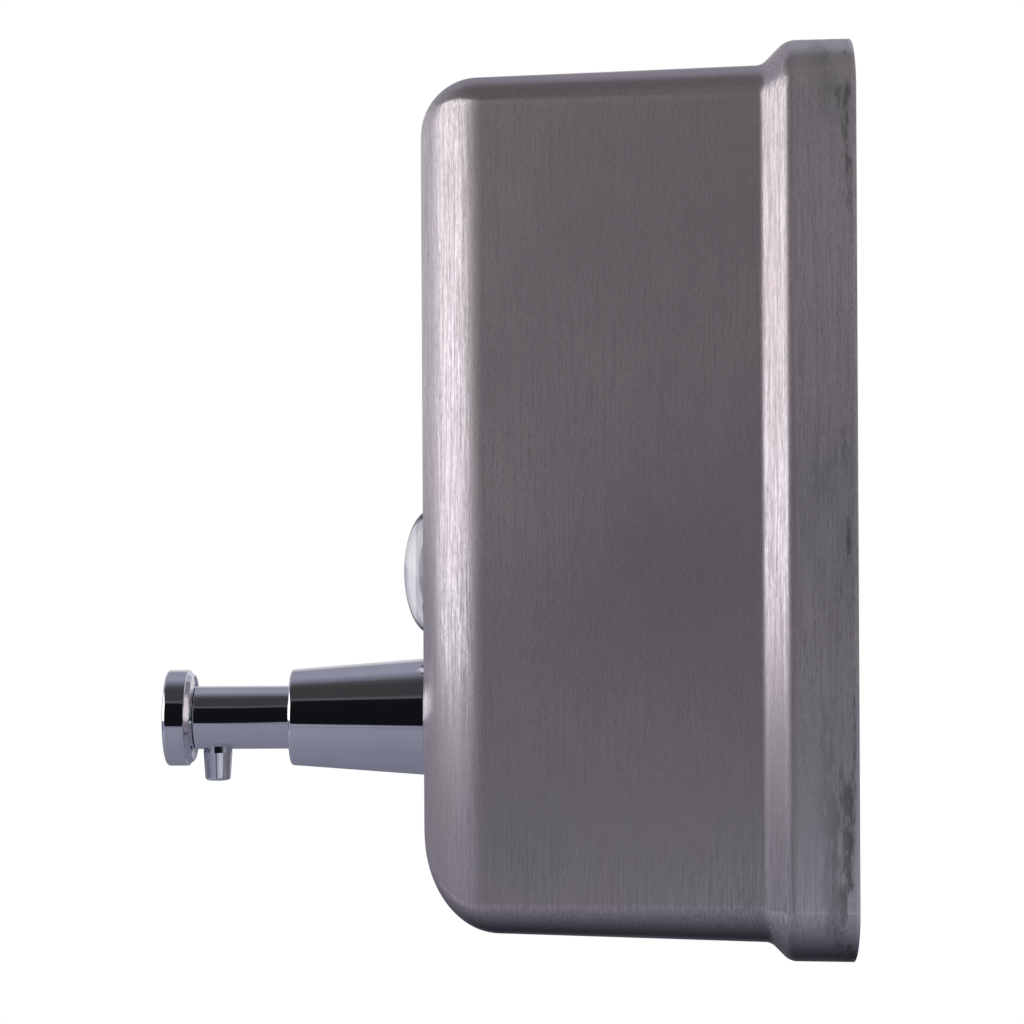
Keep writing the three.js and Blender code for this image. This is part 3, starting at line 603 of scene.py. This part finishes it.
lid_tilt = math.atan2(joints["lock_turn"]["axis"][1], -joints["lock_turn"]["axis"][2])
HINGE_Y, HINGE_Z = 23 * MM, 1.9 * MM
hinge_axis = Vector(joints["lid_hinge"]["pos_m"])
tilt = Matrix.Rotation(lid_tilt, 4, "X")
on_top = Matrix.Translation(hinge_axis - tilt @ Vector((0, HINGE_Y, HINGE_Z))) @ tilt

pump_low, pump_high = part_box("plunger_tube")
PUMP_Z = (pump_low.z + pump_high.z) / 2
on_pump = Matrix.Translation((0, 0, PUMP_Z))
lens_low, lens_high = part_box("window_lens")
WINDOW_Z = (lens_low.z + lens_high.z) / 2
WINDOW_HALF_WIDTH, WINDOW_HALF_HEIGHT = 9 * MM, 15 * MM
WINDOW_GAP = 0.3 * MM
screw_low, screw_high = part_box("mount_lock_screw")
SCREW_Y = (screw_low.y + screw_high.y) / 2
SCREW_HOLE = 2.3 * MM
on_screw = Matrix.Translation((0, SCREW_Y, 0)) @ UPRIGHT
NECK_HOLE = 10.4 * MM
FILLER_HALF_WIDTH, FILLER_FRONT, FILLER_REAR, FILLER_CORNER = 20 * MM, -18 * MM, 16 * MM, 6 * MM


def rod(radius, low, high):
    return [(0, low), (radius, low), (radius, high), (0, high)]


def tube(outer, inner, low, high, edge=0.15 * MM):
    corners = [(inner, low), (outer, low), (outer, high), (inner, high)]
    return filleted([(*corner, edge) for corner in corners], closed=True, steps=4)


def screw_hole(rim_z):
    return turned("hole", rod(SCREW_HOLE, rim_z - 2 * MM, rim_z + 4 * MM), on_screw, 48)


def make_front_shell():
    """The deep drawn sheet with its cut edge broken, and openings for the pump, window, filler and screw."""
    outer = shell_rings(0)
    inner = shell_rings(SHEET)
    edge = 0.12 * MM
    shares = (edge / SHEET, 1 - edge / SHEET)
    lip = [[a.lerp(b, share) for a, b in zip(outer[-1], inner[-1])] for share in shares]
    for ring in (outer[-1], inner[-1]):
        for point in ring:
            point.y -= edge
    shell = loft("shell", outer + lip + inner[::-1])
    through = 5 * MM
    face = (FRONT_Y - through, FRONT_Y + through)
    cut(shell, turned("hole", rod(NECK_HOLE, *face), on_pump))
    window = oval(WINDOW_HALF_WIDTH + WINDOW_GAP, WINDOW_HALF_HEIGHT + WINDOW_GAP, 0, WINDOW_Z)
    cut(shell, slab("hole", [window], *face, place=FACING_WALL))
    opening = rectangle(-FILLER_HALF_WIDTH, FILLER_HALF_WIDTH, FILLER_FRONT, FILLER_REAR, FILLER_CORNER)
    cut(shell, slab("hole", [opening], -through, through, place=on_top))
    cut(shell, screw_hole(shell_low.z))
    stands_for(shell, "front_shell")


def make_back_pan():
    """The shallow pan behind the shell, with its rim turned back to the wall through a round bend."""
    low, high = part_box("back_pan")
    rim_radius = corner_at(wall_rise(SIDES)) - (shell_high.x - high.x)
    least_radius = 4 * MM
    middle = 20 * MM  # how far in from the rim the outline ends, where the pan is flat
    outline = filleted(
        [(middle, low.y), (0, low.y, 2 * MM), (0, high.y, 0.3 * MM), (SHEET, high.y, 0.3 * MM),
         (SHEET, low.y + SHEET, 1.2 * MM), (middle, low.y + SHEET)],
        steps=6,
    )
    rings = []
    for pull, y in outline:
        half_width, half_height = high.x - pull, high.z - pull
        corner = max(rim_radius - pull, least_radius)
        flat = rectangle(-half_width, half_width, -half_height, half_height, corner)
        rings.append([Vector((x, y, z)) for x, z in flat])
    pan = loft("back_pan_sheet", rings)
    cut(pan, screw_hole(low.z))
    stands_for(pan, "back_pan")


# ---------------------------------------------------------------- wall mounting


def strip_outline(path, thickness):
    """The section of a bent strip: its middle line, moved half a thickness to each side."""
    sides = []
    for sign in (1, -1):
        side = []
        for i, here in enumerate(path):
            into = (here - path[i - 1]).normalized() if i else (path[1] - here).normalized()
            out = (path[i + 1] - here).normalized() if i + 1 < len(path) else into
            normal = Vector((-into.y - out.y, into.x + out.x)).normalized()
            side.append(here + normal * (sign * thickness / 2 / normal.dot(Vector((-into.y, into.x)))))
        sides.append(side)
    return sides[0] + sides[1][::-1]


BRACKET_SHEET = 1.5 * MM
SLOT_X, SLOT_Z, SLOT_END = 2.6 * MM, 5 * MM, 2.59 * MM  # half the width and length, and the end's radius


def make_wall_plate():
    """The plate that four wall screws hold, the hook that carries the dispenser and the lug for its screw."""
    low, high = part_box("wall_plate")
    slots = [
        rectangle(x - SLOT_X, x + SLOT_X, z - SLOT_Z, z + SLOT_Z, SLOT_END)
        for x in (-28 * MM, 28 * MM)
        for z in (60 * MM, -70 * MM)
    ]
    rim = rectangle(low.x, high.x, low.z, high.z, 5 * MM)
    plate = slab("mounting_plate", [rim, *slots], -BRACKET_SHEET, 0, 0.2 * MM, FACING_WALL)
    shelf_z, lip_y, lip_top, hook_half = 36.75 * MM, -6.75 * MM, 46 * MM, 30 * MM
    hook = filleted([(-BRACKET_SHEET / 2, shelf_z), (lip_y, shelf_z, 1.3 * MM), (lip_y, lip_top)])
    hook_section = strip_outline(hook, BRACKET_SHEET)
    join(plate, slab("hook", [hook_section], -hook_half, hook_half, 0.15 * MM, SIDEWAYS))
    lug_hole = oval(2.15 * MM, 2.15 * MM, 0, SCREW_Y, 32)
    lug = rectangle(-12 * MM, 12 * MM, low.y, -BRACKET_SHEET / 2, 0.8 * MM, 4)
    join(plate, slab("lug", [lug, lug_hole], low.z, low.z + BRACKET_SHEET, 0.1 * MM))
    stands_for(plate, "wall_plate")


def make_hanger():
    """The bent strip on the back pan that hangs on the wall plate's hook."""
    low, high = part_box("hanger_bracket")
    back = low.y + BRACKET_SHEET / 2
    lip_y = high.y - BRACKET_SHEET / 2
    shelf_z, bend = 51.25 * MM, 1 * MM
    path = filleted([(back, high.z), (back, shelf_z, bend), (lip_y, shelf_z, bend), (lip_y, low.z)])
    strip = strip_outline(path, BRACKET_SHEET)
    stands_for(slab("hanger_strip", [strip], low.x, high.x, 0.15 * MM, SIDEWAYS), "hanger_bracket")


def make_lock_screw():
    """A grub screw with a cone tip and a hexagon socket in its foot."""
    tip, foot = screw_high.z, screw_low.z
    radius, edge = 2 * MM, 0.1 * MM
    outline = filleted(
        [(0, foot), (1.7 * MM, foot, edge), (radius, foot + 0.4 * MM, edge),
         (radius, tip - 0.8 * MM, edge), (1.3 * MM, tip, edge), (0, tip)],
        steps=3,
    )
    screw = turned("grub_screw", outline, on_screw, 48)
    across_corners = 1 * MM / math.cos(math.pi / 6)
    socket = oval(across_corners, across_corners, 0, SCREW_Y, 6)
    cut(screw, slab("socket", [socket], foot - 1 * MM, foot + 2 * MM))
    stands_for(screw, "mount_lock_screw")


# ---------------------------------------------------------------- lid, hinge and lock

LID_TOP, LID_UNDER = 1.6 * MM, 0.4 * MM
LID_FRONT, LID_REAR, LID_SIDE, LID_CORNER = -24 * MM, 21 * MM, 28 * MM, 8 * MM
LEAF_UNDER, LEAF_TOP = 0.1 * MM, 0.9 * MM
KNUCKLE, KNUCKLE_BORE, PIN = 1.7 * MM, 0.95 * MM, 0.8 * MM
HINGE_HALF = 17 * MM
LID_SPANS = [(-12 * MM, -6 * MM), (6 * MM, 12 * MM)]
LEAF_SPANS = [(-HINGE_HALF, -12.4 * MM), (-5.6 * MM, 5.6 * MM), (12.4 * MM, HINGE_HALF)]
on_hinge = on_top @ Matrix.Translation((0, HINGE_Y, HINGE_Z)) @ ACROSS
LOCK_Y = -7.5 * MM
on_lock = on_top @ Matrix.Translation((0, LOCK_Y, 0)) @ UPRIGHT


def add_knuckles(piece, spans, tab_from, tab_to, tab_low, tab_high):
    """Rolls of the hinge over spans of X, each on a tab that joins it to the piece, bored for the pin."""
    for x0, x1 in spans:
        tab = rectangle(x0, x1, tab_from, tab_to)
        join(piece, slab("tab", [tab], tab_low, tab_high, 0.08 * MM, on_top))
        roll = filleted([(0, x0), (KNUCKLE, x0, 0.2 * MM), (KNUCKLE, x1, 0.2 * MM), (0, x1)], steps=3)
        join(piece, turned("roll", roll, on_hinge, 48))
    through = 2 * HINGE_HALF
    cut(piece, turned("bore", rod(KNUCKLE_BORE, -through, through), on_hinge, 32))


def make_lid():
    """The pressed lid, hollow below, with a hole for its lock and two knuckles at the rear."""
    rim = rectangle(-LID_SIDE, LID_SIDE, LID_FRONT, LID_REAR, LID_CORNER)
    lock_hole = oval(4.6 * MM, 4.6 * MM, 0, LOCK_Y, 48)
    lid = slab("lid_sheet", [rim, lock_hole], 0.15 * MM, LID_TOP, 0.55 * MM, on_top)
    skirt = 1.4 * MM
    inside = LID_SIDE - skirt
    pocket = rectangle(-inside, inside, LID_FRONT + skirt, LID_REAR - skirt, LID_CORNER - skirt)
    cut(lid, slab("pocket", [pocket], -1 * MM, LID_UNDER, place=on_top))
    add_knuckles(lid, LID_SPANS, LID_REAR - 2 * MM, HINGE_Y - 0.4 * MM, LID_UNDER, LID_TOP)
    stands_for(lid, "filler_lid", lid_steel)


def make_hinge_leaf():
    """The fixed leaf behind the lid, with three spot welds."""
    strip = rectangle(-HINGE_HALF, HINGE_HALF, HINGE_Y + 2.3 * MM, HINGE_Y + 6 * MM, 0.6 * MM, 4)
    leaf = slab("hinge_strip", [strip], LEAF_UNDER, LEAF_TOP, 0.15 * MM, on_top)
    add_knuckles(leaf, LEAF_SPANS, HINGE_Y + 0.4 * MM, HINGE_Y + 3 * MM, LEAF_UNDER, LEAF_TOP)
    floor, above = LEAF_TOP - 0.1 * MM, LEAF_TOP + 1.1 * MM
    dent = filleted([(0, floor), (0.9 * MM, floor, 0.1 * MM), (1.1 * MM, above), (0, above)])
    for x in (-13 * MM, 0, 13 * MM):
        weld_place = on_top @ Matrix.Translation((x, HINGE_Y + 4.2 * MM, 0)) @ UPRIGHT
        cut(leaf, turned("weld", dent, weld_place, 32))
    stands_for(leaf, "lid_hinge_leaf")


def make_hinge_pin():
    half = HINGE_HALF + 0.6 * MM
    ends = filleted([(0, -half), (PIN, -half, 0.25 * MM), (PIN, half, 0.25 * MM), (0, half)], steps=4)
    stands_for(turned("hinge_wire", ends, on_hinge, 32), "lid_hinge_pin")


LOCK_BARREL, LOCK_PLUG = 4.5 * MM, 2.85 * MM


def make_lock_barrel():
    """The fixed body of the lock, with a flange that rests on the lid."""
    bore, flange, foot = LOCK_PLUG + 0.15 * MM, LID_TOP + 1.2 * MM, -8.7 * MM
    seat = LID_TOP + 0.05 * MM
    outline = filleted(
        [(bore, flange, 0.15 * MM), (6.9 * MM, flange, 0.7 * MM), (7 * MM, seat, 0.1 * MM),
         (LOCK_BARREL, seat), (LOCK_BARREL, foot, 0.2 * MM), (bore, foot, 0.1 * MM)],
        closed=True,
    )
    stands_for(turned("lock_body", outline, on_lock), "lock_barrel")


def make_lock_plug():
    """The turning core of the lock, with a slot for its key above and a tapped stem below."""
    face, foot, stem, end = LID_TOP + 1 * MM, -8.9 * MM, 1.9 * MM, -10.3 * MM
    outline = filleted(
        [(0, face), (LOCK_PLUG, face, 0.15 * MM), (LOCK_PLUG, foot, 0.1 * MM), (stem, foot),
         (stem, end, 0.1 * MM), (0, end)],
        steps=4,
    )
    core = turned("lock_core", outline, on_lock, 64)
    key = rectangle(-0.6 * MM, 0.6 * MM, LOCK_Y - 2 * MM, LOCK_Y + 2 * MM, 0.2 * MM, 3)
    cut(core, slab("slot", [key], LID_TOP - 1.5 * MM, LID_TOP + 3 * MM, place=on_top))
    cut(core, turned("bore", rod(1.15 * MM, end - 1 * MM, end + 6 * MM), on_lock, 32))
    stands_for(core, "lock_plug")


# ---------------------------------------------------------------- sight window


def dome(scale_x, scale_z, proud, base_y, steps=20, around=96):
    """Rings of a domed oval, from its tip to its base."""
    rings = []
    for i in range(1, steps + 1):
        angle = i / steps * math.pi / 2
        y = base_y - proud * math.cos(angle)
        ring = oval(scale_x * math.sin(angle), scale_z * math.sin(angle), 0, WINDOW_Z, around)
        rings.append([Vector((x, y, z)) for x, z in ring])
    return rings


def make_lens():
    """A hollow dome of even thickness that stands proud of the shell, on a flange behind it."""
    proud = FRONT_Y - lens_low.y
    flange_front, flange_back = lens_high.y - 1.5 * MM, lens_high.y
    flange, edge, wall = 4 * MM, 0.2 * MM, 1.3 * MM
    skin = dome(WINDOW_HALF_WIDTH, WINDOW_HALF_HEIGHT, proud, FRONT_Y)

    def ring(grow, y):
        flat = oval(WINDOW_HALF_WIDTH + grow, WINDOW_HALF_HEIGHT + grow, 0, WINDOW_Z, 96)
        return [Vector((x, y, z)) for x, z in flat]

    rim = [
        (0, flange_front),
        (flange - edge, flange_front),
        (flange, flange_front + edge),
        (flange, flange_back - edge),
        (flange - edge, flange_back),
    ]
    half_width, half_height = WINDOW_HALF_WIDTH - wall, WINDOW_HALF_HEIGHT - wall
    hollow = dome(half_width, half_height, proud + SHEET - wall, flange_front)
    hollow.append([Vector((p.x, flange_back, p.z)) for p in hollow[-1]])
    lens = loft("lens", skin + [ring(*corner) for corner in rim] + hollow[::-1])
    stands_for(lens, "window_lens")


# ---------------------------------------------------------------- pump


def make_escutcheon():
    """The cone round the pump, open at its base, with a round-edged nose."""
    low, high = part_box("escutcheon")
    nose, base = low.y, high.y
    inside, opening, ledge = 10.3 * MM, 8.2 * MM, nose + 1 * MM
    outline = filleted(
        [(inside, base), (13.9 * MM, base, 0.1 * MM), (14.15 * MM, base - 0.45 * MM, 0.2 * MM),
         (11.62 * MM, nose, 0.75 * MM), (opening, nose, 0.25 * MM), (opening, ledge), (inside, ledge)],
        closed=True,
    )
    stands_for(turned("cone", outline, on_pump, 128), "escutcheon")


def make_washer():
    low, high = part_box("outer_washer")
    ring = tube(high.x, 10.5 * MM, low.y, high.y, 0.2 * MM)
    stands_for(turned("face_washer", ring, on_pump), "outer_washer")


def make_bush():
    low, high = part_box("guide_bush")
    ring = tube(high.x, 7.75 * MM, low.y, high.y, 0.3 * MM)
    stands_for(turned("nose_bush", ring, on_pump), "guide_bush")


spout_low, spout_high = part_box("spout_nozzle")
SPOUT_Y = (spout_low.y + spout_high.y) / 2
SPOUT_RADIUS = spout_high.x
on_spout = Matrix.Translation((0, SPOUT_Y, PUMP_Z)) @ UPRIGHT


def make_plunger_tube():
    """The sliding tube, with a hole below for the spout."""
    outer = tube(pump_high.x, 6 * MM, pump_low.y, pump_high.y, 0.2 * MM)
    sleeve = turned("sleeve", outer, on_pump, 128)
    cut(sleeve, turned("hole", rod(SPOUT_RADIUS + 0.15 * MM, -12 * MM, 0), on_spout, 64))
    stands_for(sleeve, "plunger_tube")


def make_button():
    """A thick disc with a rounded front edge, a small ledge behind it, a rounded back and a spigot."""
    low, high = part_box("push_button")
    rim, face, end = high.x, low.y, high.y
    rear, spigot = end - 0.5 * MM, 5.85 * MM
    outline = filleted(
        [(0, face), (rim, face, 0.8 * MM), (rim, rear - 1.6 * MM, 0.1 * MM),
         (rim - 0.35 * MM, rear - 1.5 * MM, 0.1 * MM), (rim - 1.2 * MM, rear - 0.35 * MM, 0.9 * MM),
         (rim - 3 * MM, rear, 0.4 * MM), (spigot, rear), (spigot, end, 0.1 * MM), (0, end)],
    )
    stands_for(turned("press_disc", outline, on_pump, 128), "push_button")


def make_spout():
    """The nozzle under the plunger, tapered below the tube to a rounded tip."""
    top = spout_high.z - PUMP_Z
    tip = spout_low.z - PUMP_Z
    bore, tip_radius, shoulder = 2 * MM, 3.05 * MM, -8.4 * MM
    outline = filleted(
        [(bore, top), (SPOUT_RADIUS, top), (SPOUT_RADIUS, shoulder, 1 * MM), (tip_radius, tip, 0.75 * MM),
         (bore, tip, 0.2 * MM)],
        closed=True,
    )
    stands_for(turned("spout", outline, on_spout, 96), "spout_nozzle")


def make_spring():
    """The return spring, closer coiled at its ends."""
    low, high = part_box("return_spring")
    wire, turns, steps_in_turn, end_closeness = 0.42 * MM, 7, 28, 0.09
    radius = high.x - wire
    steps = turns * steps_in_turn
    rings = []
    for i in range(steps + 1):
        share = i / steps
        angle = share * turns * 2 * math.pi
        along = share - end_closeness * math.sin(share * 2 * math.pi)
        outward = Vector((math.cos(angle), 0, math.sin(angle)))
        centre = outward * radius + Vector((0, low.y + wire + along * (high.y - low.y - 2 * wire), PUMP_Z))
        rings.append([centre + outward * a + Vector((0, b, 0)) for a, b in oval(wire, wire, steps=10)])
    spring = loft("coil", rings)
    stands_for(spring, "return_spring")
    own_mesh(spring)


# ---------------------------------------------------------------- studio


def make_floor():
    """A plain pale round floor, well below the dispenser."""
    top = shell_low.z - 0.34
    radius, thickness, edge = 1.35, 0.02, 0.008
    outline = filleted([(0, top - thickness), (radius, top - thickness, edge), (radius, top, edge), (0, top)])
    place = Matrix.Translation((0, -0.07, 0)) @ UPRIGHT
    floor = turned("floor", outline, place, 160)
    f = Finish("floor", Roughness=0.85)
    f.use("Base Color", f.mix(f.noise(3, detail=3.0), (0.50, 0.52, 0.62, 1), (0.53, 0.55, 0.65, 1)))
    floor.data.materials.append(f.material)


def area_light(name, azimuth, elevation, distance, width, height, radiance, colour):
    """A soft panel that faces the dispenser. Azimuth is measured from +X towards -Y, in degrees."""
    a, e = math.radians(azimuth), math.radians(elevation)
    outward = Vector((math.cos(a) * math.cos(e), -math.sin(a) * math.cos(e), math.sin(e)))
    data = bpy.data.lights.new(name, "AREA")
    data.shape = "RECTANGLE"
    data.size, data.size_y = width, height
    data.energy = radiance * math.pi * width * height
    data.color = colour
    light = bpy.data.objects.new(name, data)
    light.location = target + outward * distance
    light.rotation_euler = outward.to_track_quat("Z", "Y").to_euler()
    light.visible_camera = False
    bpy.context.scene.collection.objects.link(light)


# The room as bands of colour, by the angle in degrees from the camera's side, up over the dispenser and down
# the far side. The chrome mirrors it sharply and the steel softly.
ROOM = [
    (-179, (0.20, 0.205, 0.26)),
    (-90, (0.14, 0.145, 0.20)),
    (-18, (0.31, 0.325, 0.40)),
    (-16, (0.006, 0.006, 0.009)),
    (38, (0.008, 0.008, 0.009)),
    (41, (0.12, 0.118, 0.125)),
    (47, (0.052, 0.050, 0.053)),
    (74, (0.055, 0.053, 0.056)),
    (84, (0.08, 0.08, 0.09)),
    (110, (0.34, 0.34, 0.43)),
    (145, (0.32, 0.32, 0.38)),
    (156, (0.66, 0.65, 0.70)),
    (179, (0.68, 0.67, 0.72)),
]


def room_angle(n, x, y, z):
    """The place in the room's bands, from 0 to 1. On the camera's side, the light lower bands reach higher
    towards the wall and out into the room."""
    wall_side = n.math("MAXIMUM", n.math("ADD", y, 0.12), 0.0)
    wall_side = n.math("MINIMUM", n.math("MULTIPLY", wall_side, 2.8), 0.15)
    open_side = n.math("MAXIMUM", n.math("SUBTRACT", -0.14, y), 0.0)
    raised = n.math("MULTIPLY_ADD", open_side, 0.8, wall_side)
    raised = n.math("MULTIPLY", raised, n.math("GREATER_THAN", x, 0.0))
    angle = n.math("SUBTRACT", n.math("ARCTAN2", z, x), raised)
    return n.span(angle, -math.pi, math.pi, 0, 1)


def wall_glow(n, y, z):
    """How bright the wall is beside the dispenser: more towards its top, and at its foot."""
    upper = n.math("MAXIMUM", n.math("MULTIPLY_ADD", z, 0.6, 0.05), 0.0)
    lower = n.math("MAXIMUM", n.math("MULTIPLY_ADD", z, -6.0, -0.6), 0.0)
    glow = n.math("ADD", n.math("MINIMUM", upper, 0.17), n.math("MINIMUM", lower, 0.3))
    beside = n.math("MULTIPLY_ADD", y, 4.0, -0.2)
    beside = n.math("MINIMUM", n.math("MAXIMUM", beside, 0.0), 1.0)
    return n.math("MULTIPLY", glow, beside)


def make_world():
    """White to the camera and through clear plastic. To everything else, a dim room."""
    world = bpy.data.worlds.new("room")
    bpy.context.scene.world = world
    world.use_nodes = True
    world.node_tree.nodes.clear()
    n = Nodes(world.node_tree)
    direction = n.node("ShaderNodeSeparateXYZ", {0: n.node("ShaderNodeTexCoord").outputs["Generated"]})
    x, y, z = direction.outputs
    ramp = n.node("ShaderNodeValToRGB", {0: room_angle(n, x, y, z)})
    stops = ramp.color_ramp.elements
    while len(stops) < len(ROOM):
        stops.new(0.5)
    for stop, (degrees, colour) in zip(stops, ROOM):
        stop.position = (degrees + 180) / 360
        stop.color = (*colour, 1)
    room = n.node("ShaderNodeBackground", {"Color": ramp.outputs[0]})
    wall = n.node("ShaderNodeBackground", {"Strength": wall_glow(n, y, z)})
    lit = n.node("ShaderNodeAddShader", {0: room.outputs[0], 1: wall.outputs[0]})
    white = n.node("ShaderNodeBackground", {"Color": (1, 1, 1, 1)})
    path = n.node("ShaderNodeLightPath")
    seen = n.math("MAXIMUM", path.outputs["Is Camera Ray"], path.outputs["Is Transmission Ray"])
    shown = n.node("ShaderNodeMixShader", {0: seen, 1: lit.outputs[0], 2: white.outputs[0]})
    n.node("ShaderNodeOutputWorld", {0: shown.outputs[0]})


target = Vector((0, FRONT_Y + 20 * MM, -2.2 * MM))


def make_camera():
    """Square to the dispenser's side, from +X, at the height of its middle, and a little out of level."""
    data = bpy.data.cameras.new("camera")
    data.lens = 84.65
    data.sensor_width = 36
    camera = bpy.data.objects.new("camera", data)
    backwards = Vector((0.5875, 0.004, 0))
    camera.location = target + backwards
    level = backwards.to_track_quat("Z", "Y").to_matrix()
    roll = Matrix.Rotation(math.radians(-0.3), 3, "Z")
    camera.rotation_euler = (level @ roll).to_euler()
    bpy.context.scene.collection.objects.link(camera)
    bpy.context.scene.camera = camera


make_camera()
make_world()
make_floor()
area_light(
    "softbox",
    azimuth=62,
    elevation=17,
    distance=1.2,
    width=1.54,
    height=1.0,
    radiance=1.8,
    colour=(1.0, 0.98, 0.98),
)
bpy.context.scene.view_settings.view_transform = "Standard"

make_front_shell()
make_back_pan()
make_wall_plate()
make_hanger()
make_lock_screw()
make_lid()
make_hinge_leaf()
make_hinge_pin()
make_lock_barrel()
make_lock_plug()
make_lens()
make_escutcheon()
make_washer()
make_bush()
make_plunger_tube()
make_button()
make_spout()
make_spring()
for cad_node in slot_of:
    if cad_node not in replaced:
        dress(cad_node)
